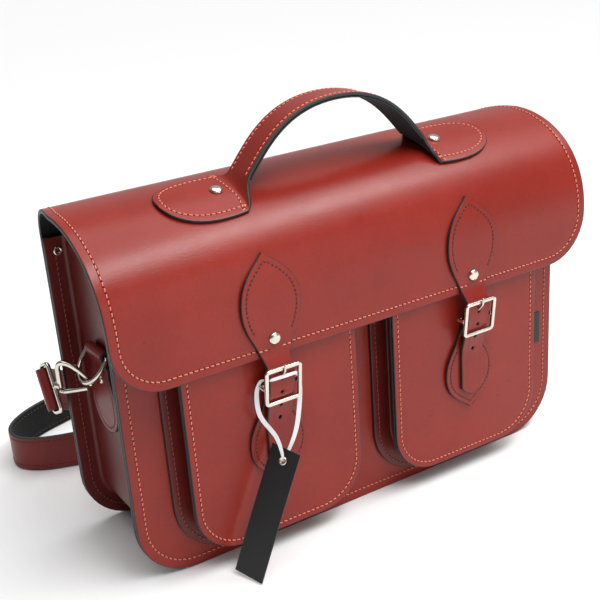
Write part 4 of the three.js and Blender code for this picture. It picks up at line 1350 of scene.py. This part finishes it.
def dense_loop(line, step):
    """A closed 2-D line with extra points on its long straight stretches."""
    full = []
    for a, b in zip(line, line[1:] + line[:1]):
        a, b = Vector(a), Vector(b)
        pieces = max(1, round((b - a).length / step))
        full += [lerp(a, b, k / pieces) for k in range(pieces)]
    return full


def buckle_depth(z):
    """The buckle's frame lies in one plane forward of its bar and leans out at the top."""
    return BUCKLE_Y - 7.8 - 1.7 * (z - BUCKLE_Z) / BUCKLE_HALF_HEIGHT


def make_buckle(name, side):
    x = side * CLOSURE_X
    loop = dense_loop(rounded_rectangle(BUCKLE_RAIL_X, BUCKLE_HALF_HEIGHT, 2.0), 2.0)
    middle = BUCKLE_Z + 1.2
    path = [Vector((x + p.x, buckle_depth(middle + p.y), middle + p.y)) for p in loop]
    heap = Heap()
    sweep(heap, path, FORWARD, soft_section(1.5, 1.4), True)
    bar = [Vector((x + BUCKLE_RAIL_X * k / 6, BUCKLE_Y, BUCKLE_Z)) for k in range(-6, 7)]
    sweep(heap, bar, FORWARD, circle_section(BAR_RADIUS))
    for rail in (-BUCKLE_RAIL_X, BUCKLE_RAIL_X):
        lug = [Vector((x + rail, BUCKLE_Y + y, BUCKLE_Z)) for y in (1.3, 0.6, -2, -5, -7.6)]
        sweep(heap, lug, Vector((1, 0, 0)), soft_section(1.5, 1.3, 12))
    build_metal(heap, f"buckle_metal_{name}", f"buckle_frame_{name}", f"buckle_frame_{name}")
    prong = Heap()
    route = [(-2.2, 1.2), (-4.4, 4.2), (-7.4, 7.6), (-10.4, 10.8), (-12.2, 13.6), (-12.3, 17.6)]
    line = spline([Vector((x, BUCKLE_Y + y, BUCKLE_Z + z)) for y, z in route], 4)
    sizes = [lerp(1.12, 0.78, k / (len(line) - 1)) for k in range(len(line))]
    sizes[-1] = 0.45
    sweep(prong, line, Vector((1, 0, 0)), circle_section(1.0), False, sizes)
    collar = [(1.65, -1.3), (2.9, -1.3), (3.15, -0.9), (3.15, 0.9), (2.9, 1.3), (1.65, 1.3), (1.65, -1.3)]
    lathe(prong, collar, Vector((x, BUCKLE_Y, BUCKLE_Z)), Vector((1, 0, 0)), 20)
    build_metal(prong, f"prong_metal_{name}", f"buckle_prong_{name}", f"buckle_prong_{name}")


# ---- handle ----
def handle_path():
    """The handle's top line in (x, z) above the flap's seat: a tab, the arch and the other tab."""
    seat, _ = FLAP.at_value(0, HANDLE_Y, 0, 0, CROWN_START)
    spring = seat.z + 4.6
    half = TAB_CORNER_X + 5
    places = (143, 142.6, 141.4, 139.2, 136, 132, 127, 121, 115, 108, 101, 95, 91)
    tab = [Vector((-x, spring)) for x in places]
    rise = [
        bezier(Vector((-half, spring)), Vector((-72, spring)),
               Vector((-62, HANDLE_TOP)), Vector((0, HANDLE_TOP)), k / 26)
        for k in range(26)
    ]
    left = tab + rise
    return left + [Vector((0, HANDLE_TOP))] + [Vector((-p.x, p.y)) for p in reversed(left)]


HANDLE_PATH = handle_path()


def tab_half_depth(x):
    """Half the handle's depth at a given distance from its middle, tabs included."""
    distance = abs(x)
    if distance <= TAB_NECK_X:
        return HANDLE_HALF_WIDTH
    if distance < TAB_CORNER_X:
        part = (distance - TAB_NECK_X) / (TAB_CORNER_X - TAB_NECK_X)
        return lerp(HANDLE_HALF_WIDTH, TAB_HALF_DEPTH, part)
    low, high = 0.0, 1.0
    for _ in range(24):
        middle = (low + high) / 2
        reach = bezier(TAB_CORNER_X, TAB_CORNER_X + 24, TAB_END_X, TAB_END_X, middle)
        low, high = (middle, high) if reach < distance else (low, middle)
    return max(0.5, bezier(TAB_HALF_DEPTH, TAB_HALF_DEPTH + 3, 26.0, 0.0, low))


def handle_point(i, u, raised):
    """A point on the handle's outer face: it follows the flap at the tabs and stands free between."""
    place = HANDLE_PATH[i]
    along = heading(HANDLE_PATH, i)
    outward = Vector((-along.y, 0, along.x))
    tab, _ = FLAP.at_value(0, HANDLE_Y + u, place.x, GAP + HANDLE_LEATHER + raised, CROWN_START)
    arch = Vector((place.x, HANDLE_Y + u, place.y)) + outward * raised
    free = smooth_step((86 - abs(place.x)) / 10)
    return lerp(tab, arch, free)


def handle_rows(first, last, half_at, raised, seam=HANDLE_SEAM):
    rows = []
    for i in range(first, last):
        half = half_at(HANDLE_PATH[i].x)
        columns = leaf_columns(half, seam)
        rows.append([handle_point(i, -u, raised - leaf_dip(half, u, seam)) for u in columns])
    return rows


def make_handle():
    rows = handle_rows(0, len(HANDLE_PATH), tab_half_depth, 0.0)
    piece = leather_grid("handle_leather", rows, HANDLE_LEATHER, RED_SHEET, "red_leather", "flap", 0.6)
    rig.replaces(piece, "handle_outer")
    free = [i for i, p in enumerate(HANDLE_PATH) if abs(p.x) < TAB_CORNER_X - 6]
    lining = handle_rows(free[0], free[-1] + 1, lambda _x: HANDLE_HALF_WIDTH - 0.2, -HANDLE_LEATHER - GAP)
    lining = [list(reversed(row)) for row in lining]
    # The lining's face takes the dark edge colour, which is painted shade under the handle.
    under = leather_grid(
        "handle_lining_leather", lining, -1.0, (EDGE, SUEDE, EDGE), "shaded_leather", "flap", 0.5,
    )
    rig.replaces(under, "handle_lining")
    stitches = Heap()
    for edge in (-1, 1):
        line = [handle_point(i, edge * (HANDLE_HALF_WIDTH - HANDLE_SEAM), -0.2) for i in free]
        middle = Vector((0, HANDLE_Y, 250))
        sew(stitches, line, lambda p: Vector((p.x * 0.6, 0, p.z - middle.z)).normalized(), 4.0, 3.0)
    for side in (-1, 1):
        places = (84.3, 85, 90, 97, 105, 113, 120, 127, 133, 137.5, 141, 142.6, 143)
        tab = [Vector((x, tab_half_depth(x))) for x in places]
        rim = [Vector((p.x, -p.y)) for p in tab] + tab[::-1]
        rim += [
            Vector((TAB_CORNER_X - part * 3, TAB_HALF_DEPTH * (1 - 2 * part)))
            for part in (0.25, 0.5, 0.75)
        ]
        rim += rim[:2]
        dense = [lerp(a, b, k / 6) for a, b in zip(rim, rim[1:]) for k in range(6)]
        inner = inset_outline(dense, -4.4)
        line = [
            FLAP.at_value(0, HANDLE_Y + p.y, side * p.x, GAP + HANDLE_LEATHER - 0.15, CROWN_START)[0]
            for p in inner
        ]
        sew(stitches, line + line[:1], flap_outward, 4.0, 3.0)
    build_stitches(stitches, "handle_stitches", ORANGE_THREAD, "flap")
    for name, side in SIDES:
        seat, direction = FLAP.at_value(0, HANDLE_Y, side * HANDLE_RIVET_X, GAP + HANDLE_LEATHER, CROWN_START)
        make_rivet(f"handle_rivet_metal_{name}", f"handle_rivet_{name}", seat, direction, 4.8, 2.5, "flap")


# ---- side tabs, rings and hooks ----
# These are worked out for the left side, and a side's places are mirrored for the right.
def mirrored(heap, side):
    if side > 0:
        heap.points = [Vector((-p.x, p.y, p.z)) for p in heap.points]
        heap.faces = [tuple(reversed(face)) for face in heap.faces]
    return heap


def make_side_tab(name, side):
    radius = RING_WIRE + GAP + STRAP_LEATHER
    bar_x, bar_z = RING_BAR.x, RING_BAR.z
    rise = [(SIDE_TAB_FACE, z) for z in (100, 118, 134, 148, 156)]
    turn = [
        (bar_x - radius * math.cos(a), bar_z + radius * math.sin(a))
        for a in [math.radians(d) for d in (-10, 20, 50, 80, 105, 130, 155, 175)]
    ]
    route = spline([Vector(point) for point in rise + turn], 4)
    line = Profile(route)

    def wrap(u, v, raised):
        place, _ = line.at_length(0, v - SIDE_TAB_BOTTOM + 2, raised)
        return Vector((place.y, SIDE_TAB_Y - u, place.z))

    neck = RING_RADIUS - 3.0
    round_end = [
        (SIDE_TAB_HALF_WIDTH * math.sin(math.radians(a)),
         SIDE_TAB_BOTTOM + SIDE_TAB_HALF_WIDTH * (1 - math.cos(math.radians(a))))
        for a in (2, 12, 24, 36, 48, 60, 72, 82, 90)
    ]
    shoulder = [
        (bezier(SIDE_TAB_HALF_WIDTH, SIDE_TAB_HALF_WIDTH, neck, neck, k / 8),
         bezier(123.0, 144.0, 146.0, 154.0, k / 8))
        for k in range(1, 9)
    ]
    fold = [(neck, 156 + 1.6 * k) for k in range(16)]
    outline = round_end + shoulder + fold
    heap = Heap()
    rows = leaf_rows(outline, 0, LEAF_SEAM, wrap)
    add_sheet(heap, rows, STRAP_LEATHER, STRAP_ROUNDING)
    backing = [
        [wrap(u, v, -STRAP_LEATHER - 0.05) for u in leaf_columns(half, LEAF_SEAM)]
        for half, v in round_end + shoulder
    ]
    add_sheet(heap, backing, 2.4, STRAP_ROUNDING)
    # The side tab takes the darker strap leather, which is painted shade.
    piece = mirrored(heap, side).build(f"side_tab_leather_{name}", SHADED_STRAP_SHEET, "red_leather", "bag_body")
    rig.replaces(piece, f"side_tab_{name}")
    stitches = Heap()
    sew_leaf(stitches, [pair for pair in outline if pair[1] < 151], 0, LEAF_SEAM, wrap,
             constant(Vector((-1, 0, 0))), 3.6)
    build_stitches(mirrored(stitches, side), f"side_tab_stitches_{name}", DARK_THREAD)
    seat = Vector((side * abs(SIDE_TAB_FACE), SIDE_TAB_Y - 1, 145))
    make_rivet(f"side_tab_rivet_metal_{name}", f"side_tab_rivet_{name}", seat,
               Vector((side, 0, 0)), 3.4, 1.7, "bag_body")


def make_ring(name, side):
    up = Vector((math.sin(RING_ANGLE), 0, math.cos(RING_ANGLE)))
    along = Vector((0, 1, 0))
    corner = 2.6
    line = [(-RING_RADIUS + corner, 0.0)]
    line += [
        (-RING_RADIUS + corner * (1 - math.sin(a)), -corner * (1 - math.cos(a)))
        for a in [math.radians(d) for d in (30, 60, 90)]
    ]
    line += [
        (-RING_RADIUS * math.cos(a), -RING_STRAIGHT - RING_RADIUS * math.sin(a))
        for a in [math.pi * k / 24 for k in range(25)]
    ]
    line += [(-u, v) for u, v in reversed(line[:4])]
    path = [RING_BAR + along * u + up * v for u, v in dense_loop(line, 2.5)]
    heap = Heap()
    sweep(heap, path, along.cross(up), circle_section(RING_WIRE, 14), True)
    build_metal(mirrored(heap, side), f"ring_metal_{name}", f"d_ring_{name}", f"ring_{name}", False)


def hook_point(u, v, w=0.0):
    return HOOK_SWIVEL + TO_RING * u + UPRIGHT * v + HOOK_ACROSS * w


def make_hook(name, side):
    claw = [(2.9, -0.6), (2.9, 5), (2.9, 11), (3.0, 15.2), (4.6, 18.2), (8.2, 18.9),
            (13, 17.6), (18.5, 13.8), (23.6, 8.8), (26.6, 4.4), (27.2, 1.9)]
    line = spline([hook_point(*point) for point in claw], 5)
    sizes = [1.0 - 0.22 * smooth_step((k / (len(line) - 1) - 0.6) / 0.2) for k in range(len(line))]
    heap = Heap()
    sweep(heap, line, HOOK_ACROSS, soft_section(1.75, 2.0, 16), False, sizes)
    axis = (hook_point(1, 0) - hook_point(0, 0)).normalized()
    boss = [
        (0.0, -1.4), (2.0, -1.4), (2.6, -0.9), (2.6, 1.2), (3.1, 1.7), (3.1, 2.6), (2.4, 3.1), (0.0, 3.1),
    ]
    lathe(heap, boss, hook_point(0, 1.0), axis, 20)
    build_metal(mirrored(heap, side), f"hook_metal_{name}", f"snap_hook_{name}", f"hook_{name}")
    gate = Heap()
    arm = [(2.2, -3.2), (6, -3.9), (12, -2.9), (19, -1.6), (24.6, -0.4)]
    sweep(gate, spline([hook_point(*point) for point in arm], 5), HOOK_ACROSS, soft_section(1.45, 1.7, 16))
    for w in (-1, 1):
        lathe(gate, [(0.0, -0.4), (1.2, -0.4), (1.2, 0.3), (0.8, 0.6), (0.0, 0.7)],
              hook_point(4.4, -3.4, w * 1.8), HOOK_ACROSS * -w, 14)
    build_metal(mirrored(gate, side), f"gate_metal_{name}", f"hook_gate_{name}", f"gate_{name}")


LOOP_ACROSS = Vector((1, 0, 0)).cross(LOOP_DIRECTION).normalized()
LOOP_NORMAL = LOOP_DIRECTION.cross(LOOP_ACROSS)


def loop_point(u, v, w=0.0):
    return HOOK_SWIVEL + LOOP_DIRECTION * u + LOOP_ACROSS * v + LOOP_NORMAL * w


def make_strap_loop(name, side):
    middle = (LOOP_NEAR + LOOP_FAR) / 2
    half = (LOOP_FAR - LOOP_NEAR) / 2
    line = dense_loop(rounded_rectangle(half, LOOP_HALF_HEIGHT, 2.8), 3.0)
    heap = Heap()
    sweep(heap, [loop_point(middle + p.x, p.y) for p in line], LOOP_NORMAL,
          soft_section(LOOP_WIRE, LOOP_WIRE, 14, 2.4), True)
    stem = [(0.0, -1.6), (1.6, -1.6), (1.6, 1.2), (2.3, 1.6), (2.3, 3.6), (0.0, 3.6)]
    lathe(heap, stem, loop_point(0, 0), LOOP_DIRECTION, 16)
    build_metal(
        mirrored(heap, side), f"strap_loop_metal_{name}", f"strap_loop_{name}", f"loop_{name}",
    )


# The strap end's own directions: along it from the loop's far bar, across it and out of its face.
END_ALONG = LOOP_DIRECTION * math.cos(END_TURN) + LOOP_NORMAL * math.sin(END_TURN)
END_OUT = LOOP_NORMAL * math.cos(END_TURN) - LOOP_DIRECTION * math.sin(END_TURN)


def end_point(u, v, w=0.0):
    return loop_point(LOOP_FAR, 0) + END_ALONG * u + LOOP_ACROSS * v + END_OUT * w


def make_strap_end(name, side):
    """The strap's end, folded round the loop's bar and held by two rivets."""
    half = SHOULDER_WIDTH / 2
    outer, flat, leather = 4.9, 4.1, 2.4
    line = [(END_LENGTH - 3 * k, flat) for k in range(9)]
    line += [
        (outer * math.cos(math.radians(d)), outer * math.sin(math.radians(d)))
        for d in range(65, 296, 16)
    ]
    line += [(u, -w) for u, w in reversed(line[:9])]
    rows = [
        [end_point(u, v * half, w) for v in (-1, -0.93, -0.75, -0.4, 0, 0.4, 0.75, 0.93, 1)]
        for u, w in line
    ]
    heap = Heap()
    add_sheet(heap, rows, leather, STRAP_ROUNDING)
    piece = mirrored(heap, side).build(
        f"strap_end_leather_{name}", SHADED_STRAP_SHEET, "red_leather", f"strap_end_{name}")
    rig.replaces(piece, f"strap_end_{name}")
    for u, v, level in END_RIVETS:
        rivet = Heap()
        for face in (-1, 1):
            profile = [
                (0.0, -1.0), (1.6, -1.0), (1.6, 0.0), (3.5, 0.05),
                (3.6, 0.5), (3.2, 1.1), (2.0, 1.5), (0.0, 1.6),
            ]
            lathe(rivet, profile, end_point(u, v, face * flat), END_OUT * face, 20)
        build_metal(
            mirrored(rivet, side), f"strap_end_rivet_metal_{level}_{name}",
            f"strap_end_rivet_{level}_{name}", f"strap_end_{name}", False,
        )


# ---- shoulder strap ----
STRAP_START = end_point(END_LENGTH - 20, 0)
STRAP_LEAD = end_point(END_LENGTH + 16, 0)

LONG_ROUTE = [STRAP_START, STRAP_LEAD] + [Vector(point) for point in (
    (-193, 98, 102), (-172, 127, 82), (-145, 150, 59), (-112, 168, 34), (-70, 178, 20),
    (-30, 182, STRAP_FLOOR_Z), (20, 186, STRAP_FLOOR_Z), (58, 200, STRAP_FLOOR_Z),
    (70, 224, STRAP_FLOOR_Z), (52, 246, STRAP_FLOOR_Z), (0, 254, STRAP_FLOOR_Z),
    (-70, 250, STRAP_FLOOR_Z), (-130, 240, STRAP_FLOOR_Z), (-180, 223, STRAP_FLOOR_Z),
    (-207, 202, STRAP_FLOOR_Z), (-213, 180, STRAP_FLOOR_Z), (-200, 162, STRAP_FLOOR_Z),
    (-170, 149, STRAP_FLOOR_Z), (-110, 133, STRAP_FLOOR_Z), (-40, 121, STRAP_FLOOR_Z),
    (30, 113, STRAP_FLOOR_Z + 1.5), (ADJUSTER.x - 3, 109, ADJUSTER.z),
)]
SHORT_ROUTE = [Vector(point) for point in (
    (ADJUSTER.x + 3, 108.5, ADJUSTER.z), (104, 107, ADJUSTER.z + 3),
    (138, 103, STRAP_FLOOR_Z + 25), (165, 98, STRAP_FLOOR_Z + 50), (188, 88, STRAP_FLOOR_Z + 76),
)] + [Vector((-p.x, p.y, p.z)) for p in (STRAP_LEAD, STRAP_START)]
STRAP_BEND_LOW, STRAP_BEND_HIGH = 38.0, 116.0
STRAP_SEAM_PART = 0.74
SEAM_PULL = 0.25


def strap_frames(route, steps):
    """Points along a strap that stands on its edge, with its red side and its upright direction."""
    line = spline(route, steps)
    frames = []
    for i, place in enumerate(line):
        along = heading(line, i)
        inner = UPRIGHT.cross(along).normalized()
        frames.append((place, -inner, along.cross(inner)))
    return frames


def make_shoulder_strap(name, node, route, steps, ring, holes):
    frames = strap_frames(route, steps)
    half = SHOULDER_WIDTH / 2
    edge = (1, 0.96, STRAP_SEAM_PART + 0.04, STRAP_SEAM_PART, STRAP_SEAM_PART - 0.04, 0.35)
    across = (*edge, 0, *(-part for part in reversed(edge)))
    rows = [
        [
            place + up * half * part
            + red * (SHOULDER_LEATHER / 2 - (SEAM_PULL if abs(part) == STRAP_SEAM_PART else 0))
            for part in across
        ]
        for place, red, up in frames
    ]
    # The strap takes the darker strap leather, which is painted shade.
    piece = leather_grid(name, rows, SHOULDER_LEATHER, SHADED_STRAP_SHEET, "red_leather", None, 0.7)
    if holes:
        piece = bore(piece, [
            (place - red * 5, place + red * 5, 1.9)
            for place, red, _ in (frames[-k * steps // 3] for k in range(3, 3 + holes))
        ])
    stitches = Heap()
    for part in (-STRAP_SEAM_PART, STRAP_SEAM_PART):
        for side in (1, -1):
            line = [
                place + red * side * (SHOULDER_LEATHER / 2 - 0.2) + up * half * part
                for place, red, up in frames[2:-2]
            ]
            centres = [(place, red * side) for place, red, _ in frames]

            def outward(point, centres=centres):
                return min(centres, key=lambda pair: (pair[0] - point).length_squared)[1]

            sew(stitches, line, outward, 4.4, 3.0, 0.4, 0.6)
    sewn = build_stitches(stitches, f"{name}_stitches", DARK_THREAD, None)
    low, high = to_metres((0, 0, STRAP_BEND_LOW)), to_metres((0, 0, STRAP_BEND_HIGH))
    for soft in (piece, sewn):
        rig.blend(soft, "bag_body", ring, low, high)
    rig.replaces(piece, node)
    return piece, [place for place, _, _ in frames]


def make_adjuster():
    """The strap's adjusting buckle: a wire frame with a middle bar, and its prong."""
    y = ADJUSTER.y
    heap = Heap()
    loop = dense_loop(rounded_rectangle(11, SHOULDER_WIDTH / 2 + 3, 3.0), 3.0)
    path = [Vector((ADJUSTER.x + p.x, y, ADJUSTER.z + p.y)) for p in loop]
    sweep(heap, path, FORWARD, soft_section(1.5, 1.5, 14, 2.4), True)
    bar = [Vector((ADJUSTER.x, y, ADJUSTER.z + k * (SHOULDER_WIDTH / 2 + 3) / 6)) for k in range(-6, 7)]
    sweep(heap, bar, FORWARD, circle_section(BAR_RADIUS))
    buckle = build_metal(heap, "adjuster_metal", "adjuster_frame", "adjuster_frame")
    prong = Heap()
    route = [(-2.2, 1.4), (-5.5, 2.4), (-9.5, 2.6), (-13.6, 2.4)]
    line = spline([Vector((ADJUSTER.x + u, y + v, ADJUSTER.z)) for u, v in route], 4)
    sweep(prong, line, UPRIGHT, circle_section(1.0))
    collar = [(1.65, -1.2), (2.8, -1.2), (3.0, -0.8), (3.0, 0.8), (2.8, 1.2), (1.65, 1.2), (1.65, -1.2)]
    lathe(prong, collar, ADJUSTER, UPRIGHT, 18)
    return [buckle, build_metal(prong, "adjuster_prong_metal", "adjuster_prong", "adjuster_prong")]


def make_keeper():
    """A narrow leather loop round the short strap, beside the adjusting buckle."""
    frames = strap_frames(SHORT_ROUTE, 8)
    place, red, up = frames[9]
    along = up.cross(red).normalized()
    half_depth, half_height = 4.0, SHOULDER_WIDTH / 2 + 2.3
    section = dense_loop(rounded_rectangle(half_depth, half_height, 2.2), 3.0)
    rows = []
    for p in section + section[:1]:
        centre = place + red * p.x + up * p.y
        rows.append([centre + along * w for w in (-4, -3.4, 0, 3.4, 4)])
    heap = Heap()
    add_sheet(heap, rows, 1.8, 0.5)
    piece = heap.build("keeper_leather", SHADED_STRAP_SHEET, "red_leather", "bag_body")
    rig.replaces(piece, "strap_keeper")
    return piece


# ---- swing tag ----
def tag_point(u, outward, down):
    lean = Matrix.Rotation(TAG_LEAN, 4, "Y")
    twist = Matrix.Rotation(TAG_TWIST, 4, "Z")
    return TAG_TOP + (lean @ twist) @ Vector((u, -outward, -down))


TAG_OUT = (tag_point(0, 1, 0) - tag_point(0, 0, 0)).normalized()


def make_tag():
    """A plain black card with a slight curl, cut square, with pale cut edges and an eyelet."""
    def curl(down):
        return 0.5 * math.sin(math.pi * down / TAG_LENGTH)

    downs = [0, 0.4] + [TAG_LENGTH * k / 24 for k in range(1, 24)] + [TAG_LENGTH - 0.4, TAG_LENGTH]
    half = TAG_WIDTH / 2
    sides = [-half, 0.4 - half, -8, -4, 0, 4, 8, half - 0.4, half]
    rows = [
        [tag_point(u, TAG_THICKNESS / 2 + curl(down), down) for u in sides] for down in reversed(downs)
    ]
    card = leather_grid("tag_card", rows, TAG_THICKNESS, (CARD, CARD, CARD_EDGE), "black_card", None, 0.15)
    hole = tag_point(0, 0, TAG_HOLE_DROP)
    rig.ride(bore(card, [(hole - TAG_OUT * 4, hole + TAG_OUT * 4, 2.5)]), "swing_tag")
    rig.replaces(card, "swing_tag")
    ring = Heap()
    face = TAG_THICKNESS / 2 + 0.25
    profile = [(1.6, -face - 0.3), (2.6, -face - 0.6), (3.6, -face - 0.1), (3.5, -face), (2.3, -face),
               (2.3, face), (3.5, face), (3.6, face + 0.1), (2.6, face + 0.6), (1.6, face + 0.3),
               (1.6, -face - 0.3)]
    lathe(ring, profile[::-1], hole + TAG_OUT * curl(TAG_HOLE_DROP), TAG_OUT, 22)
    build_metal(ring, "tag_eyelet_metal", "tag_eyelet", "swing_tag", False)


def make_ribbon():
    """A satin ribbon that passes round the closure strap inside the buckle and through the tag."""
    x, y = -CLOSURE_X, BUCKLE_Y
    inside = STRAP_HALF_WIDTH + 0.72

    def at_hole(outward, up):
        return tag_point(0, outward, TAG_HOLE_DROP - up)

    route = [at_hole(0.4, 0), at_hole(1.6, 0), at_hole(2.6, 4)] + [Vector(point) for point in (
        (x - 10, y - 9, 104), (x - 19, y - 5, 122), (x - 18, y - 0.5, 136),
        (x - inside - 2.5, y + 1.4, 144), (x - inside, y - 1.5, 146.5), (x - inside, y - 7.7, 148.6),
        (x - inside + 1.3, y - 9.9, 149.2), (x, y - 10.8, 149.5), (x + inside - 1.3, y - 9.9, 149),
        (x + inside, y - 7.7, 148.4), (x + inside, y - 1.5, 146.5), (x + inside + 2.5, y + 1.4, 144),
        (x + 18.5, y + 0.5, 135), (x + 12, y - 6, 116), (x + 5, y - 10, 102),
    )] + [at_hole(-2.6, 4), at_hole(-1.6, 0), at_hole(-0.4, 0)]
    half_widths = [0.9, 1.0, 2.2, 3.2, 3.4, 3.4, 2.4, 1.6, 1.6, 2.2]
    widths = half_widths + [2.6] + half_widths[::-1]
    steps = 5
    line = spline(route, steps)
    heap = Heap()
    rows = []
    for i, place in enumerate(line):
        along = heading(line, i)
        share = i / steps
        k = min(int(share), len(widths) - 2)
        width = lerp(widths[k], widths[k + 1], share - k)
        facing = Vector((-0.5, -1, 0.1)) if abs(along.dot(UPRIGHT)) > 0.45 else Vector((0, -1, 0.35))
        across = along.cross(facing).normalized()
        rows.append((place, across * width / 2))
    for _ in range(6):
        rows = [
            (place, (rows[max(i - 1, 0)][1] + across * 2 + rows[min(i + 1, len(rows) - 1)][1]) / 4)
            for i, (place, across) in enumerate(rows)
        ]
    grid = [[place + across * part for part in (-1, -0.5, 0, 0.5, 1)] for place, across in rows]
    add_sheet(heap, grid, 0.25, 0.08)
    piece = heap.build("ribbon_satin", (RIBBON, RIBBON, RIBBON), "ribbon", "swing_tag")
    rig.replaces(piece, "ribbon")
    return piece, line


# ---- trim ----
def make_rear_eyelets():
    for name, side in SIDES:
        heap = Heap()
        back, front = BACK_FACE + GAP, BACK_FACE - 2 * LEATHER - 2 * GAP
        profile = [
            (1.6, front - 0.3), (2.6, front - 0.9), (3.4, front - 0.5), (3.6, front), (2.4, front),
            (2.4, back), (3.6, back), (3.4, back + 0.5), (2.6, back + 0.9), (1.6, back + 0.3),
            (1.6, front - 0.3),
        ]
        place = Vector((side * (HALF_WIDTH - 9.5), 0, 232))
        lathe(heap, profile[::-1], place, BACKWARD, 24)
        build_metal(heap, f"rear_eyelet_metal_{name}", f"rear_eyelet_{name}", "bag_body", False)


def make_label():
    """A folded woven tab, left plain, sewn on near the right-hand edge of the front."""
    rows = []
    for k in range(15):
        z = 81 + 28 * k / 14
        rows.append([
            Vector((183.6 + u, FRONT_FACE - 0.75 - 0.12 * math.cos(u / 4 * math.pi / 2), z))
            for u in (-4, -3.6, -2, 0, 2, 3.6, 4)
        ])
    piece = leather_grid("label_cloth", rows, 0.5, (LABEL, LABEL, LABEL), "label_fabric", "bag_body", 0.15)
    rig.replaces(piece, "woven_label")


# ---- assembly ----
def declare_cord(piece, path, width, far_end, lay, stiffness, pieces):
    points = [to_metres(p) for p in path]
    length = sum((b - a).length for a, b in zip(points, points[1:]))
    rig.cord(
        piece, exit=points[0], length=length, diameter=width * MM, far_end=far_end,
        stiffness=stiffness, lay=lay, path=points, with_pieces=pieces,
    )


adjuster_pieces = make_adjuster()
keeper = make_keeper()
long_strap, long_path = make_shoulder_strap(
    "long_strap_leather", "shoulder_strap_long", LONG_ROUTE, 6, "ring_left", 5)
short_strap, short_path = make_shoulder_strap(
    "short_strap_leather", "shoulder_strap_short", SHORT_ROUTE, 8, "ring_right", 0)
declare_cord(long_strap, long_path, SHOULDER_WIDTH, "fitting", "loose", "stiff", adjuster_pieces)
declare_cord(short_strap, short_path[::-1], SHOULDER_WIDTH, "fitting", "loose", "stiff", [keeper])
ribbon, ribbon_path = make_ribbon()
make_tag()
declare_cord(ribbon, ribbon_path, 3.4, "object", "hanging", "limp", [])

make_body()
for side_name, side_sign in SIDES:
    make_pocket(side_name, side_sign)
make_flap()
for side_name, side_sign in SIDES:
    make_patch(side_name, side_sign)
    make_buckle(side_name, side_sign)
    make_closure(side_name, side_sign)
    make_side_tab(side_name, side_sign)
    make_ring(side_name, side_sign)
    make_hook(side_name, side_sign)
    make_strap_loop(side_name, side_sign)
    make_strap_end(side_name, side_sign)
make_handle()
make_rear_eyelets()
make_label()


# ---- floor and light ----
OVERHEAD_POWER = 2.35
OVERHEAD_SPREAD = math.radians(75)
STUDIO_DIM, STUDIO_BRIGHT = 0.14, 0.46


def make_floor():
    mesh = bpy.data.meshes.new("floor")
    reach = 6.0
    mesh.from_pydata([(-reach, -reach, 0), (reach, -reach, 0), (reach, reach, 0), (-reach, reach, 0)],
                     [], [(0, 1, 2, 3)])
    floor = bpy.data.objects.new("floor", mesh)
    bpy.context.scene.collection.objects.link(floor)
    material, _, shader = new_material("floor_paper", 0.85)
    shader.inputs["Base Color"].default_value = (0.9, 0.9, 0.9, 1)
    shader.inputs["Specular IOR Level"].default_value = 0.1
    mesh.materials.append(material)
    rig.stage(floor)


def make_light(name, place, target, size, power):
    data = bpy.data.lights.new(name, "AREA")
    data.shape = "RECTANGLE"
    data.size, data.size_y = size
    data.energy = power
    light = bpy.data.objects.new(name, data)
    bpy.context.scene.collection.objects.link(light)
    light.location = place
    direction = Vector(target) - Vector(place)
    light.rotation_euler = direction.to_track_quat("-Z", "Y").to_euler()


def make_world():
    """Soft light from all round, dimmer from the bag's left side."""
    world = bpy.data.worlds.new("studio")
    bpy.context.scene.world = world
    world.use_nodes = True
    tree = world.node_tree
    coordinates = tree.nodes.new("ShaderNodeTexCoord")
    axes = tree.nodes.new("ShaderNodeSeparateXYZ")
    tree.links.new(coordinates.outputs["Generated"], axes.inputs["Vector"])
    strength = value_range(tree, axes.outputs["X"], STUDIO_DIM, STUDIO_BRIGHT, -0.75, 0.25)
    background = tree.nodes["Background"]
    background.inputs["Color"].default_value = (1, 1, 1, 1)
    tree.links.new(strength, background.inputs["Strength"])


def make_overhead():
    """A broad overhead bank of lights, which keeps the floor evenly white."""
    data = bpy.data.lights.new("overhead", "SUN")
    data.energy = OVERHEAD_POWER
    data.angle = OVERHEAD_SPREAD
    light = bpy.data.objects.new("overhead", data)
    bpy.context.scene.collection.objects.link(light)
    light.rotation_euler = Vector((-0.16, 0.12, -1)).to_track_quat("-Z", "Y").to_euler()


make_floor()
make_world()
make_overhead()
make_light("key", (0.30, -0.50, 1.25), (0, -0.03, 0.2), (1.2, 0.30), 11)
make_light("front", (0.55, -1.6, 0.55), (0, 0, 0.12), (0.9, 0.9), 3)
bpy.context.scene.view_settings.view_transform = "Standard"

low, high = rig.bounds()
with open(SIZE_FILE, "w") as size_file:
    json.dump({
        "cad": [list(CAD_BOX[0]), list(CAD_BOX[1])],
        "visual": [list(low), list(high)],
    }, size_file)
